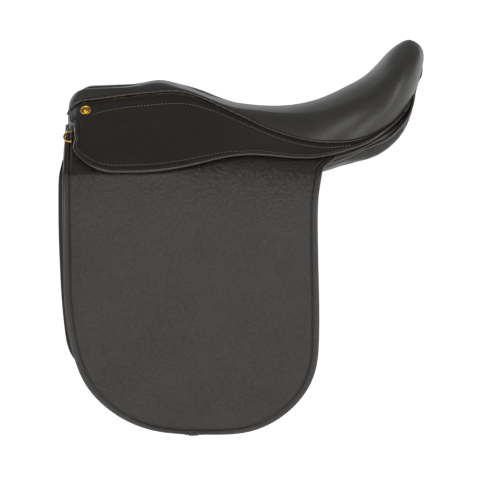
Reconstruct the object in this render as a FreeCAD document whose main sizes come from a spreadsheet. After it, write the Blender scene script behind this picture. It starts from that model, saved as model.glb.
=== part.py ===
import FreeCAD, Part
import Sketcher
import math
import os
from FreeCAD import Placement, Rotation, Vector

# English show saddle with a cut-back head, as an assembly of its separate pieces.
# Frame: X runs from the pommel (negative) to the cantle (positive), the rider's left is -Y
# and +Z is up. The origin is on the plane of symmetry, level with the panels' outer edges,
# under the middle of the seat. "side" is a distance out from the plane of symmetry, so a
# point on the left has y = -side. Left pieces are built and the right ones are mirrored.
# The leather lies in layers under one outer skin, so most pieces are strips of a layer at
# a depth below that skin, measured along its normal.

os.makedirs("parts", exist_ok=True)
doc = FreeCAD.newDocument("saddle")

# ---------------------------------------------------------------- driving dimensions (mm)
DIMENSIONS = [
    ("cover_leather", 3.0),
    ("skirt_leather", 4.0),
    ("flap_leather", 4.0),
    ("sweat_leather", 3.0),
    ("billet_leather", 4.0),
    ("billet_width", 25.0),
    ("billet_length", 300.0),
    ("billet_hole_radius", 2.2),
    ("billet_hole_pitch", 25.0),
    ("billet_pitch", 40.0),
    ("guard_leather", 3.0),
    ("guard_height", 80.0),
    ("web_canvas", 1.2),
    ("foam_depth", 9.0),
    ("tree_wood", 8.0),
    ("tree_steel", 1.2),
    ("piping_radius", 2.2),
    ("notch_half_width", 34.0),
    ("notch_length", 104.0),
    ("lining_leather", 2.5),
    ("flap_hinge_side", 207.0),
    ("flap_hinge_height", 13.0),
    ("binding_width", 7.0),
    ("bar_blade_length", 96.0),
    ("bar_blade_width", 12.0),
    ("bar_blade_depth", 8.0),
    ("bar_plate_length", 82.0),
    ("bar_plate_width", 28.0),
    ("bar_plate_depth", 3.0),
    ("catch_pin_radius", 1.5),
    ("catch_depth", 3.0),
    ("rivet_radius", 2.0),
    ("nail_radius", 7.6),
    ("nail_dome", 3.6),
    ("dee_wire_radius", 1.4),
    ("dee_bend_radius", 11.1),
    ("running_fit", 0.05),
    ("gap", 0.4),
]
sheet = doc.addObject("Spreadsheet::Sheet", "Dimensions")
size = dict(DIMENSIONS)
for row, (alias, value) in enumerate(DIMENSIONS, start=1):
    sheet.set("A%d" % row, alias)
    sheet.set("B%d" % row, str(value))
    sheet.setAlias("B%d" % row, alias)
doc.recompute()


def cell(alias):
    """The expression that reads one cell of the sheet."""
    return "Dimensions." + alias


# ---------------------------------------------------------------- curves of the saddle
def smooth(points):
    """A function through (position, value) points: a monotone cubic, level past both ends."""
    places = [point[0] for point in points]
    values = [point[1] for point in points]
    rates = [(values[i + 1] - values[i]) / (places[i + 1] - places[i]) for i in range(len(points) - 1)]
    slopes = [rates[0]]
    for before, after in zip(rates, rates[1:]):
        turns = before * after <= 0
        slopes.append(0.0 if turns else 2 * before * after / (before + after))
    slopes.append(rates[-1])

    def value_at(place):
        if place <= places[0]:
            return values[0]
        if place >= places[-1]:
            return values[-1]
        i = max(k for k in range(len(places) - 1) if places[k] <= place)
        run = places[i + 1] - places[i]
        t = (place - places[i]) / run
        return (
            values[i] * (1 + 2 * t) * (1 - t) ** 2
            + slopes[i] * run * t * (1 - t) ** 2
            + values[i + 1] * t * t * (3 - 2 * t)
            - slopes[i + 1] * run * t * t * (1 - t)
        )

    return value_at


# The seat's top on the plane of symmetry, and its shoulder at SHOULDER of the way to the welt.
SHOULDER = 0.7
crown_height = smooth([
    (-250, 112), (-240, 120), (-215, 126), (-146, 130), (-118, 137), (-90, 130.5), (-54, 116),
    (-18, 105), (20, 100), (72, 99), (107, 106), (143, 120), (178, 139), (214, 172), (240, 193),
    (255, 197), (262, 190), (267, 172),
])
shoulder_height = smooth([
    (-250, 114), (-240, 121), (-215, 126), (-146, 130), (-118, 134), (-90, 130), (-54, 116),
    (-18, 104), (20, 98), (72, 94), (107, 98), (143, 110), (178, 126), (214, 152), (240, 173),
    (255, 180), (262, 174), (267, 164),
])
# The welt: the seam between the seat and the skirts, from the nails round the back.
welt_side = smooth([
    (-250, 89), (-234, 88), (-194, 84), (-128, 77), (-82, 79), (-46, 86), (9, 103), (64, 130),
    (99, 146), (153, 154), (180, 151), (208, 138), (233, 112), (251, 80), (260, 52), (266, 20), (267, 6),
])
welt_height = smooth([
    (-250, 107), (-234, 109), (-194, 113), (-128, 121), (-82, 123), (-46, 110), (9, 85), (64, 63),
    (99, 55), (153, 55), (180, 61), (208, 72), (233, 92), (251, 115), (262, 138), (267, 155),
])
# The hem: the skirt's lower edge. In front the skin runs on at HEM height under the round lobe.
hem_side = smooth([
    (-252, 210), (-165, 210), (-111, 212), (-61, 207), (-8, 198), (49, 192), (98, 188), (125, 182),
    (152, 174), (179, 164), (207, 145), (225, 125),
])
hem_height = smooth([
    (-252, 19), (-165, 18.5), (-111, 20), (-61, 28), (-18, 39), (22, 42), (49, 40), (98, 37),
    (125, 40), (152, 47), (179, 56), (207, 71), (225, 83),
])
lobe_trim = smooth([(-242, 148), (-236, 164), (-227, 184), (-214, 199), (-198, 207), (-176, 214)])

# The skirt's lobe folds up about one straight line on the skin, from FOLD_FRONT to FOLD_REAR.
FOLD_FRONT = Vector(-236, 128, 84)
FOLD_REAR = Vector(52, 193, 41)
LOBE_REAR = 20.0
waist_share = smooth([(LOBE_REAR + 2, 0.91), (60, 0.55)])


def fold_point(x):
    """Side and height of the fold line; behind the lobe, of the middle of the skirt's strip."""
    if x > LOBE_REAR + 2:
        reach, top = welt_side(x), welt_height(x)
        share = waist_share(x)
        return reach + share * (hem_side(x) - reach), top + share * (hem_height(x) - top)
    share = (x - FOLD_FRONT.x) / (FOLD_REAR.x - FOLD_FRONT.x)
    place = FOLD_FRONT + (FOLD_REAR - FOLD_FRONT) * share
    return place.y, place.z


SKIRT_REAR = 202.0
profiles = {}


def skin_height(x, side):
    """Height of the outer skin: seat, then skirt, in the cross-section at x."""
    if x not in profiles:
        reach = welt_side(x)
        points = [
            (-SHOULDER * reach, shoulder_height(x)),
            (0.0, crown_height(x)),
            (SHOULDER * reach, shoulder_height(x)),
            (reach, welt_height(x)),
        ]
        if x <= SKIRT_REAR + 1:
            points.append(fold_point(x))
            points.append((hem_side(x), hem_height(x)))
        else:
            points.append((reach + 8, welt_height(x) - 12))
        profiles[x] = smooth(points)
    return profiles[x](abs(side))


def under(x, side, depth):
    """Side and height of the point at a depth below the skin, along the skin's normal."""
    step = 0.5
    slope = (skin_height(x, side + step) - skin_height(x, side - step)) / (2 * step)
    length = math.hypot(slope, 1.0)
    return side + depth * slope / length, skin_height(x, side) - depth / length


def inset(points, depth, hangs=False):
    """A line of (side, height) points moved inwards; one that hangs ends in a vertical run."""
    moved = []
    for i, (side, height) in enumerate(points):
        before = points[max(i - 1, 0)]
        after = points[min(i + 1, len(points) - 1)]
        run = math.hypot(after[0] - before[0], after[1] - before[1])
        moved.append((
            side + depth * (after[1] - before[1]) / run,
            height - depth * (after[0] - before[0]) / run,
        ))
    if hangs:
        moved[-1] = (points[-1][0] - depth, points[-1][1])
    return moved


# Depth of the flap's outer face below the skin: it is deep where the stirrup bar lies on it.
room_at_welt = smooth([(-250, 9.5), (-205, 14), (-182, 23.5), (-80, 23.5), (-20, 10), (20, 7)])
room_at_fold = smooth([(-250, 9.5), (-205, 11), (-182, 15.5), (-80, 15.5), (-20, 8), (20, 6.5)])
room_at_hem = smooth([(-250, 7), (-215, 7), (-190, 5.5), (0, 5.5)])
STRIP_START = 5.0


def flap_depth(x, side):
    """Depth of the flap's outer face below the skin, between the welt and the hem."""
    start = welt_side(x) + STRIP_START
    fold = fold_point(x)[0]
    hem = hem_side(x)
    if side < fold:
        share = max(side - start, 0.0) / (fold - start)
        return room_at_welt(x) + share * (room_at_fold(x) - room_at_welt(x))
    share = (side - fold) / max(hem - fold, 1.0)
    return room_at_fold(x) + share * (room_at_hem(x) - room_at_fold(x))


HINGE_GAP = 0.6
hinge_end = (size["flap_hinge_side"], size["flap_hinge_height"] + HINGE_GAP)


def flap_line(x):
    """The flap's fixed outer face in the section at x, from the welt down to its hinge."""
    start = welt_side(x) + STRIP_START
    fold = fold_point(x)[0]
    hem = hem_side(x)
    sides = [start, (start + fold) / 2, fold, (fold + hem) / 2, hem]
    points = [under(x, side, flap_depth(x, side)) for side in sides]
    last = points[-1]
    reach = math.hypot(hinge_end[0] - last[0], hinge_end[1] - last[1])
    if reach < 12:
        before = points[-2]
        run = (hinge_end[0] - before[0], hinge_end[1] - before[1])
        last = (before[0] + run[0] * 0.36, before[1] + run[1] * 0.33)
        roll = (before[0] + run[0] * 0.72, before[1] + run[1] * 0.66)
        return points[:-1] + [last, roll, hinge_end]
    bulge = 0.12 * reach
    roll = ((last[0] + hinge_end[0]) / 2 + bulge, (last[1] + hinge_end[1]) / 2 + bulge)
    return points + [roll, hinge_end]


# ---------------------------------------------------------------- document helpers
def sketch_on(body, name, role, lift=0.0):
    """A sketch on one of the body's own origin planes, moved along the plane's normal."""
    sketch = body.newObject("Sketcher::SketchObject", name)
    plane = next(f for f in body.Origin.OriginFeatures if f.Role == role)
    sketch.AttachmentSupport = [(plane, "")]
    sketch.MapMode = "FlatFace"
    sketch.AttachmentOffset = Placement(Vector(0, 0, lift), Rotation())
    return sketch


def add_run(sketch, points):
    """A line through two points or a smooth curve through more."""
    places = [Vector(a, b, 0) for a, b in points]
    if len(places) == 2:
        sketch.addGeometry(Part.LineSegment(places[0], places[1]), False)
        return
    curve = Part.BSplineCurve()
    curve.interpolate(places)
    sketch.addGeometry(curve, False)


def draw_strip(sketch, outer, inner):
    """A closed outline: the outer run, the inner run, and the two ends that join them."""
    add_run(sketch, outer)
    add_run(sketch, [outer[-1], inner[-1]])
    add_run(sketch, list(reversed(inner)))
    add_run(sketch, [inner[0], outer[0]])


def left(points):
    """Sketch coordinates on the YZ plane of (side, height) points on the left."""
    return [(-side, height) for side, height in points]


def draw_polygon(sketch, points):
    """A closed outline of straight lines."""
    for start, end in zip(points, points[1:] + points[:1]):
        add_run(sketch, [start, end])


# All the layers change direction at these stations, so that they stay parallel between them.
GRID = [
    -235, -225, -215, -205, -195, -182, -165, -150, -140, -129, -118, -107, -96, -78, -60, -40, -20,
    0, 20, 40, 60, 80, 100, 120, 140, 155, 170, 185, 200, 212, 223, 233, 242, 250, 257, 262,
]


def grid(front, rear):
    """The stations of a piece: its two ends and the grid between them."""
    margin = 3.0
    return [front] + [x for x in GRID if front + margin < x < rear - margin] + [rear]


def loft_body(label, stations, section, straight=False):
    """A body lofted through its cross-sections; section(x) gives outer and inner points."""
    body = doc.addObject("PartDesign::Body", label)
    sketches = []
    for i, x in enumerate(stations):
        sketch = sketch_on(body, "%s_section_%d" % (label, i), "YZ_Plane", x)
        outer, inner = section(x)
        if straight:
            draw_polygon(sketch, outer + list(reversed(inner)))
        else:
            draw_strip(sketch, outer, inner)
        sketches.append(sketch)
    loft = body.newObject("PartDesign::AdditiveLoft", label + "_loft")
    loft.Profile = sketches[0]
    loft.Sections = sketches[1:]
    loft.Ruled = True
    doc.recompute()
    return body


def pad(body, sketch, length_alias=None, length=10.0, reversed_way=False, midplane=False):
    """A pad whose length is a cell of the sheet, or a plain length."""
    feature = body.newObject("PartDesign::Pad", sketch.Name + "_pad")
    feature.Profile = sketch
    feature.Length = length
    feature.Reversed = reversed_way
    feature.Midplane = midplane
    if length_alias:
        feature.setExpression("Length", cell(length_alias))
    doc.recompute()
    return feature


def pocket_through(body, sketch):
    """A pocket through all, both ways; it must remove material."""
    before = body.Shape.Volume
    feature = body.newObject("PartDesign::Pocket", sketch.Name + "_pocket")
    feature.Profile = sketch
    feature.Type = "ThroughAll"
    feature.Midplane = True
    doc.recompute()
    if not body.Shape.Volume < before:
        raise RuntimeError("pocket cuts nothing: " + sketch.Name)
    return feature


def mirrored(label, source):
    """The same piece on the other side of the plane of symmetry."""
    piece = doc.addObject("Part::Mirroring", label)
    piece.Source = source
    piece.Base = Vector(0, 0, 0)
    piece.Normal = Vector(0, 1, 0)
    return piece


def box(name, low, high):
    """A box from its lowest corner to its highest one."""
    piece = doc.addObject("Part::Box", name)
    piece.Length = high[0] - low[0]
    piece.Width = high[1] - low[1]
    piece.Height = high[2] - low[2]
    piece.Placement = Placement(Vector(*low), Rotation())
    return piece


def rod(name, radius_alias, low, height, extra=0.0):
    """A cylinder along Z from a point, with its radius in the sheet, plus a clearance."""
    piece = doc.addObject("Part::Cylinder", name)
    piece.setExpression("Radius", "%s + %g" % (cell(radius_alias), extra))
    piece.Height = height
    piece.Placement = Placement(Vector(*low), Rotation())
    return piece


def fused(name, pieces):
    piece = doc.addObject("Part::MultiFuse", name)
    piece.Shapes = pieces
    return piece


def grouped(name, pieces):
    piece = doc.addObject("Part::Compound", name)
    piece.Links = pieces
    return piece


def cut(name, base, tool):
    piece = doc.addObject("Part::Cut", name)
    piece.Base = base
    piece.Tool = tool
    doc.recompute()
    if not piece.Shape.Volume < base.Shape.Volume:
        raise RuntimeError("cut removes nothing: " + name)
    return piece


nodes = {}


def keep(name, piece):
    """Names a finished sub-part, which is written to a file of that name."""
    piece.Label = name
    nodes[name] = piece
    return piece


def keep_pair(stem, left_piece):
    """A left sub-part and its mirror image."""
    keep(stem + "_left", left_piece)
    keep(stem + "_right", mirrored(stem + "_right_mirror", left_piece))


# ---------------------------------------------------------------- layers of the seat
def across(x, share, depth, depth_at_edge=None):
    """Points of a layer right across the seat, out to a share of the way to each welt."""
    edge_depth = depth if depth_at_edge is None else depth_at_edge
    points = []
    for part in [-1 + step / 8 for step in range(17)]:
        level = depth + (edge_depth - depth) * abs(part) ** 2
        side, height = under(x, abs(part) * share * welt_side(x), level)
        points.append((math.copysign(side, part) if part else 0.0, height))
    return points


cover_leather = size["cover_leather"]
gap = size["gap"]
foam_top = cover_leather + 2 * gap
foam_bottom = foam_top + size["foam_depth"]


def notch_pocket(body, half_width):
    """Cuts the cut-back out of a seat layer: a slot with a round end, open in front."""
    sketch = sketch_on(body, body.Name + "_notch", "XY_Plane")
    front = -262.0
    centre = -250.0 + size["notch_length"] - size["notch_half_width"]
    middle = centre + half_width
    corners = [
        Vector(centre, half_width, 0), Vector(front, half_width, 0),
        Vector(front, -half_width, 0), Vector(centre, -half_width, 0),
    ]
    for start, end in zip(corners, corners[1:]):
        sketch.addGeometry(Part.LineSegment(start, end), False)
    arc = Part.Arc(Vector(centre, -half_width, 0), Vector(middle, 0, 0), Vector(centre, half_width, 0))
    sketch.addGeometry(arc, False)
    return pocket_through(body, sketch)


def seat_cover():
    """The seat's leather, in one piece from the arms of the head to the roll of the cantle."""
    body = loft_body(
        "seat_cover_body", grid(-248, 265),
        lambda x: (across(x, 1.0, 0.0), across(x, 1.0, cover_leather)),
    )
    notch_pocket(body, size["notch_half_width"] + size["lining_leather"] + gap)
    return body


def seat_foam():
    """The latex pad between the cover and the webs."""
    body = loft_body(
        "seat_foam_body", grid(-235, 250),
        lambda x: (across(x, 0.86, foam_top), across(x, 0.86, foam_bottom)),
    )
    notch_pocket(body, size["notch_half_width"] + size["lining_leather"] + 2 * gap)
    return body


def strip_of_layer(label, stations, side_range, depth, thickness):
    """A left strip of a layer between two side distances that may change along X."""
    def section(x):
        inner_side, outer_side = side_range(x)
        sides = [inner_side + share * (outer_side - inner_side) for share in (0.0, 0.5, 1.0)]
        top = [under(x, side, depth(x, side)) for side in sides]
        bottom = [under(x, side, depth(x, side) + thickness) for side in sides]
        return left(top), left(bottom)
    return loft_body(label, stations, section)


cover = keep("seat_cover", seat_cover())
keep("seat_foam", cut("seat_foam_cut", seat_foam(), cover))

WEB_DEPTH = foam_bottom + gap
GIRTH_WEB_DEPTH = WEB_DEPTH + size["web_canvas"] + gap
TREE_DEPTH = GIRTH_WEB_DEPTH + size["web_canvas"] + 3 * gap
web_left = strip_of_layer(
    "seat_web_strip", grid(-112, 196),
    lambda x: (8, 32), lambda x, side: WEB_DEPTH, size["web_canvas"],
)
keep("seat_webs", grouped("seat_webs_pair", [web_left, mirrored("seat_web_mirror", web_left)]))


WEB_CLEAR = 2.0


def girth_web(label, front, rear):
    """A web right over the tree and down both sides, under the flaps, to the billets."""
    def half(x, thickness):
        seat_part = [
            under(x, share * welt_side(x), GIRTH_WEB_DEPTH + thickness) for share in (0.0, 0.4, 0.78)
        ]
        side_part = inset(flap_line(x), size["flap_leather"] + WEB_CLEAR + thickness, hangs=True)
        return seat_part + side_part[1:]
    def section(x):
        outer = half(x, 0.0)
        inner = half(x, size["web_canvas"])
        return left(outer[:0:-1]) + outer, left(inner[:0:-1]) + inner
    return loft_body(label, grid(front, rear), section, straight=True)


front_web = keep("girth_web_front", girth_web("girth_web_front_body", -88, -50))
rear_web = keep("girth_web_rear", girth_web("girth_web_rear_body", -44, 26))


# ---------------------------------------------------------------- the tree
def tree_depth(x, side):
    """Depth of the tree's top: under the webs in the seat, under the flap beyond the welt."""
    inner = 0.78 * welt_side(x)
    outer = welt_side(x) + STRIP_START
    clear = size["flap_leather"] + 4 * gap
    if side <= inner:
        return TREE_DEPTH
    if side >= outer:
        return flap_depth(x, side) + clear
    share = (side - inner) / (outer - inner)
    return TREE_DEPTH + share * (flap_depth(x, outer) + clear - TREE_DEPTH)


POINT_DEPTH = 6.0
point_reach = smooth([(-230, 138), (-205, 146), (-160, 146), (-130, 136), (-96, 130)])


def tree_point():
    """The left arm and point of the head, which carries the stirrup bar."""
    def section(x):
        sides = [46 + share * (point_reach(x) - 46) for share in (0.0, 0.25, 0.5, 0.75, 1.0)]
        top = [under(x, side, tree_depth(x, side)) for side in sides]
        return left(top), left(inset(top, POINT_DEPTH))
    return loft_body("tree_point_body", grid(-230, -96), section, straight=True)


def head_arch(label, front, rear, top, thickness, half_width):
    """A plate right across the head, behind the cut-back."""
    share = half_width / welt_side((front + rear) / 2)
    return loft_body(
        label, grid(front, rear),
        lambda x: (across(x, share, top), across(x, share, top + thickness)),
    )


HEAD_FRONT = -141.0
HEAD_REAR = -116.0
head_rivet_places = [(-129, -40), (-129, -14), (-129, 14), (-129, 40)]
point_left = tree_point()
arch = head_arch("head_arch_body", HEAD_FRONT, HEAD_REAR, TREE_DEPTH, size["tree_wood"], 62)
head_blank = fused("head_blank", [arch, point_left, mirrored("tree_point_mirror", point_left)])
plate_top = TREE_DEPTH - 2 * gap - size["tree_steel"]
top_plate_blank = head_arch("head_plate_body", -139, -118, plate_top, size["tree_steel"], 54)
gullet_top = TREE_DEPTH + size["tree_wood"] + 2 * gap
gullet_blank = head_arch("gullet_plate_body", -139, -118, gullet_top, size["tree_steel"], 50)


def head_rivets():
    """Four rivets that clamp the head between its two steel plates."""
    pieces = []
    for i, (x, y) in enumerate(head_rivet_places):
        top = skin_height(x, abs(y)) - plate_top
        shank = rod("head_rivet_shank_%d" % i, "rivet_radius", (x, y, top - 12), 12.0)
        head = rod("head_rivet_head_%d" % i, "rivet_radius", (x, y, top - 0.4), 1.2, 1.8)
        pieces.append(fused("head_rivet_%d" % i, [shank, head]))
    return grouped("head_rivets", pieces)


head_rivet_group = head_rivets()
doc.recompute()

rail_share = smooth([(-95, 0.42), (0, 0.45), (120, 0.5), (196, 0.45)])


def rail_sides(x):
    return rail_share(x) * welt_side(x), (rail_share(x) + 0.3) * welt_side(x)


rail = strip_of_layer(
    "tree_rail_body", grid(-95.5, 192), rail_sides, lambda x, side: TREE_DEPTH, size["tree_wood"],
)
keep_pair("tree_rail", rail)
spring = strip_of_layer(
    "seat_spring_body", grid(-92, 188),
    lambda x: (rail_sides(x)[0] + 6, rail_sides(x)[1] - 6),
    lambda x, side: TREE_DEPTH + size["tree_wood"] + 4 * gap, size["tree_steel"],
)
keep_pair("seat_spring", spring)
cantle_wood = loft_body(
    "tree_cantle_body", grid(193, 232),
    lambda x: (across(x, 0.78, TREE_DEPTH), across(x, 0.78, TREE_DEPTH + size["tree_wood"])),
)
keep("tree_cantle", cantle_wood)


# ---------------------------------------------------------------- stirrup bar, catch and rivets
# Its own frame: X along the bar, Y up the slope of the flap, Z out of the flap.
BAR_TILT = 34.0
BAR_PLACE = Placement(Vector(-130, -117.5, 80.5), Rotation(Vector(1, 0, 0), BAR_TILT))
BLADE_FRONT = -46.0
PLATE_TOP = -10.2
PIN_X = BLADE_FRONT + size["bar_blade_length"] - 6.0
CATCH_REACH = 20.0
FORK_DEPTH = size["catch_depth"] + 0.6
half_blade = size["bar_blade_depth"] / 2
half_width = size["bar_blade_width"] / 2


def bar_blank():
    """The forged bar: a plate on the tree, a post through the flap and the open blade."""
    plate = box("bar_plate", (BLADE_FRONT - 6, 0, PLATE_TOP - size["bar_plate_depth"]), (0, 1, 1))
    plate.setExpression("Length", cell("bar_plate_length"))
    plate.setExpression("Width", cell("bar_plate_width"))
    plate.setExpression("Height", cell("bar_plate_depth"))
    plate.setExpression("Placement.Base.y", "-%s / 2" % cell("bar_plate_width"))
    post = box("bar_post", (BLADE_FRONT, -half_width, PLATE_TOP - 1), (BLADE_FRONT + 12, half_width, 0))
    blade = box("bar_blade", (BLADE_FRONT, -half_width, -half_blade), (0, half_width, half_blade))
    blade.setExpression("Length", cell("bar_blade_length"))
    fork = box("bar_fork_slot", (PIN_X - 6, -8, -FORK_DEPTH / 2), (PIN_X + 8, 8, FORK_DEPTH / 2))
    hole = rod("bar_pin_hole", "catch_pin_radius", (PIN_X, 0, -10), 20.0)
    doc.recompute()
    whole = fused("bar_whole", [plate, post, blade])
    slots = fused("bar_slots", [fork, hole])
    return cut("bar_cut", whole, slots)


def bar_rivets():
    """Three rivets from the bar's plate into the point of the tree."""
    pieces = []
    for i, x in enumerate((-26, 0, 24)):
        shank = rod("bar_rivet_shank_%d" % i, "rivet_radius", (x, 0, PLATE_TOP - 8), 8.0)
        head = rod("bar_rivet_head_%d" % i, "rivet_radius", (x, 0, PLATE_TOP - 1.2), 1.2, 2.0)
        pieces.append(fused("bar_rivet_%d" % i, [shank, head]))
    return grouped("bar_rivet_group", pieces)


def bar_catch():
    """The hinged catch at the blade's open end: an eye in the fork and a thumb piece."""
    eye = rod("catch_eye", "catch_pin_radius", (PIN_X, 0, -size["catch_depth"] / 2), 3.0, half_width - 2.0)
    eye.setExpression("Height", cell("catch_depth"))
    arm_half = 4.5
    thin = size["catch_depth"] / 2
    tip = PIN_X + CATCH_REACH
    arm = box("catch_arm", (PIN_X, -arm_half, -thin), (tip, arm_half, thin))
    thumb = box("catch_thumb", (PIN_X + 10, -arm_half, -3), (tip, arm_half, 3))
    hole = rod("catch_hole", "catch_pin_radius", (PIN_X, 0, -6), 12.0, size["running_fit"])
    doc.recompute()
    return cut("catch_cut", fused("catch_whole", [eye, arm, thumb]), hole)


bar_piece = bar_blank()
rivet_piece = bar_rivets()
catch_piece = bar_catch()
pin_piece = rod("catch_pin", "catch_pin_radius", (PIN_X, 0, -half_blade), 2 * half_blade)
doc.recompute()
for piece in (bar_piece, rivet_piece, catch_piece):
    piece.Placement = BAR_PLACE
pin_piece.Placement = BAR_PLACE.multiply(pin_piece.Placement)
doc.recompute()
bar_riveted = cut("bar_riveted", bar_piece, rivet_piece)
keep_pair("stirrup_bar", bar_riveted)
keep_pair("bar_rivets", rivet_piece)
keep_pair("bar_catch", catch_piece)
keep_pair("bar_catch_pin", pin_piece)


# ---------------------------------------------------------------- saddle nails
NAIL_X = -221.0
NAIL_SIDE = 109.0


def across_skin(x, side, depth):
    """A placement on the left: its Z out of the skin, its X along the saddle."""
    near = under(x, side - 1, depth)
    far = under(x, side + 1, depth)
    place = under(x, side, depth)
    tilt = math.degrees(math.atan2(near[1] - far[1], far[0] - near[0]))
    return Placement(Vector(x, -place[0], place[1]), Rotation(Vector(1, 0, 0), tilt))


def saddle_nail():
    """A domed brass nail with a rolled rim, driven through the skirt and flap into the tree."""
    body = doc.addObject("PartDesign::Body", "saddle_nail_body")
    sketch = sketch_on(body, "nail_profile", "XZ_Plane")
    radius = size["nail_radius"]
    rim = 1.4
    shank = 1.5
    length = 15.0
    dome = size["nail_dome"]
    runs = [
        [(0, dome), (radius * 0.45, dome * 0.86), (radius - 2 * rim, rim * 1.1)],
        [(radius - 2 * rim, rim * 1.1), (radius - rim, rim * 1.5), (radius, 0)],
        [(radius, 0), (shank, 0)],
        [(shank, 0), (shank, -length)],
        [(shank, -length), (0, -length - 3)],
        [(0, -length - 3), (0, dome)],
    ]
    for run in runs:
        add_run(sketch, run)
    turn = body.newObject("PartDesign::Revolution", "nail_turn")
    turn.Profile = sketch
    turn.ReferenceAxis = (sketch, ["V_Axis"])
    turn.Angle = 360
    doc.recompute()
    return body


nail = saddle_nail()
nail.Placement = across_skin(NAIL_X, NAIL_SIDE, 0.0)
doc.recompute()
keep_pair("saddle_nail", nail)

head_tools = grouped("head_tools", [
    bar_riveted, mirrored("bar_for_head", bar_riveted),
    rivet_piece, mirrored("bar_rivets_for_head", rivet_piece),
    nail, mirrored("nail_for_head", nail),
    head_rivet_group,
])
gullet_tools = grouped("gullet_tools", [
    head_rivet_group, point_left, mirrored("point_for_gullet", point_left),
])
doc.recompute()
keep("tree_head", cut("tree_head_cut", head_blank, head_tools))
keep("head_plate", cut("head_plate_cut", top_plate_blank, head_rivet_group))
keep("gullet_plate", cut("gullet_plate_cut", gullet_blank, gullet_tools))
keep("head_rivets", head_rivet_group)


# ---------------------------------------------------------------- skirts
FOLD_GAP = 1.0
skirt_leather = size["skirt_leather"]


def strip_points(sides, x):
    top = [under(x, side, 0.0) for side in sides]
    return left(top), left(inset(top, skirt_leather))


def skirt_band_section(x):
    """The fixed part of the skirt: above the fold, and down to the hem behind the lobe."""
    start = welt_side(x) + STRIP_START
    end = fold_point(x)[0] - FOLD_GAP if x <= LOBE_REAR + 1 else hem_side(x)
    return strip_points([start, (start + end) / 2, end], x)


def skirt_lobe_section(x):
    """The part that folds up: from the fold to the round lower edge."""
    start = fold_point(x)[0] + FOLD_GAP
    end = min(lobe_trim(x), hem_side(x))
    return strip_points([start, (start + end) / 2, end], x)


band_blank = loft_body(
    "skirt_band_body",
    grid(-243, LOBE_REAR) + grid(LOBE_REAR + 9, SKIRT_REAR),
    skirt_band_section,
)
keep_pair("skirt_band", cut("skirt_band_cut", band_blank, nail))
keep_pair("skirt", loft_body(
    "skirt_lobe_body",
    grid(-235.5, LOBE_REAR - 2),
    skirt_lobe_section,
))


# ---------------------------------------------------------------- flaps
def flap_top_section(x):
    outer = flap_line(x)
    if x > 112:
        low = 13.6 + (x - 112) * 1.15
        outer = outer[:-2] + [(hinge_end[0] - (x - 112) * 0.75, low)]
        outer.insert(-1, ((outer[-2][0] + outer[-1][0]) / 2 + 1, (outer[-2][1] + outer[-1][1]) / 2 + 1))
    return left(outer), left(inset(outer, size["flap_leather"], hangs=True))


flap_top_blank = loft_body("flap_top_body", grid(-248, 132), flap_top_section, straight=True)
SLOT_MARGIN = 1.5
slot_half = size["bar_plate_width"] / 2 + SLOT_MARGIN
slot_box = box(
    "flap_bar_slot",
    (BLADE_FRONT - 6 - SLOT_MARGIN, -slot_half, PLATE_TOP - 12),
    (PIN_X + CATCH_REACH + SLOT_MARGIN, slot_half, 10),
)
slot_box.Placement = BAR_PLACE.multiply(slot_box.Placement)
doc.recompute()
flap_top_slotted = cut("flap_top_slotted", flap_top_blank, slot_box)
flap_top_tools = grouped("flap_top_tools", [nail, front_web, rear_web, point_left])
doc.recompute()
keep_pair("flap_top", cut("flap_top_cut", flap_top_slotted, flap_top_tools))

# The hanging part: one vertical profile, trimmed to the flap's outline in side view.
FLAP_PROFILE = [
    (207, 12.4), (213.5, -20), (219.5, -70), (222.5, -130), (222.5, -200), (219, -280), (213, -357),
]
FLAP_OUTLINE = [
    (-245, 12.4), (-244, -40), (-244, -150), (-236, -210), (-223, -266), (-196, -307), (-150, -339),
    (-90, -353), (-25, -355.5), (30, -346), (75, -316), (100, -279), (109, -240), (110, -180),
    (108, -90), (107.5, -40), (109, -10), (113, 12.4),
]


def inset_outline(points, depth):
    """The outline moved inwards, with both ends kept at the top edge."""
    moved = inset(points, -depth)
    first = (points[0][0] + depth, points[0][1])
    last = (points[-1][0] - depth, points[-1][1])
    return [first] + moved[1:-1] + [last]


def profile_cut(body, name, profile, leather):
    """Keeps only the material between the profile and its inset, in every cross-section."""
    sketch = sketch_on(body, name, "YZ_Plane")
    draw_strip(sketch, left(profile), left(inset(profile, leather, hangs=True)))
    draw_polygon(sketch, [(-300, 90), (-60, 90), (-60, -420), (-300, -420)])
    return pocket_through(body, sketch)


SLAB_INNER = 100.0
SLAB_OUTER = 240.0


def side_slab(label, draw):
    """A thick slab with an outline in side view, from which a sheet is then trimmed."""
    body = doc.addObject("PartDesign::Body", label)
    sketch = sketch_on(body, label + "_outline", "XZ_Plane", SLAB_INNER)
    draw(sketch)
    pad(body, sketch, length=SLAB_OUTER - SLAB_INNER)
    return body


def draw_closed(sketch, points):
    """A smooth run closed by one straight line."""
    add_run(sketch, points)
    add_run(sketch, [points[-1], points[0]])


flap_inner_outline = inset_outline(FLAP_OUTLINE, size["binding_width"])
flap = side_slab("flap_body", lambda sketch: draw_closed(sketch, flap_inner_outline))
profile_cut(flap, "flap_profile", FLAP_PROFILE, size["flap_leather"])
keep_pair("flap", flap)
binding_inner = inset_outline(FLAP_OUTLINE, size["binding_width"] - 0.2)
binding = side_slab("binding_body", lambda sketch: draw_strip(sketch, FLAP_OUTLINE, binding_inner))
profile_cut(binding, "binding_profile", FLAP_PROFILE, size["flap_leather"])
keep_pair("flap_binding", binding)

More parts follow.
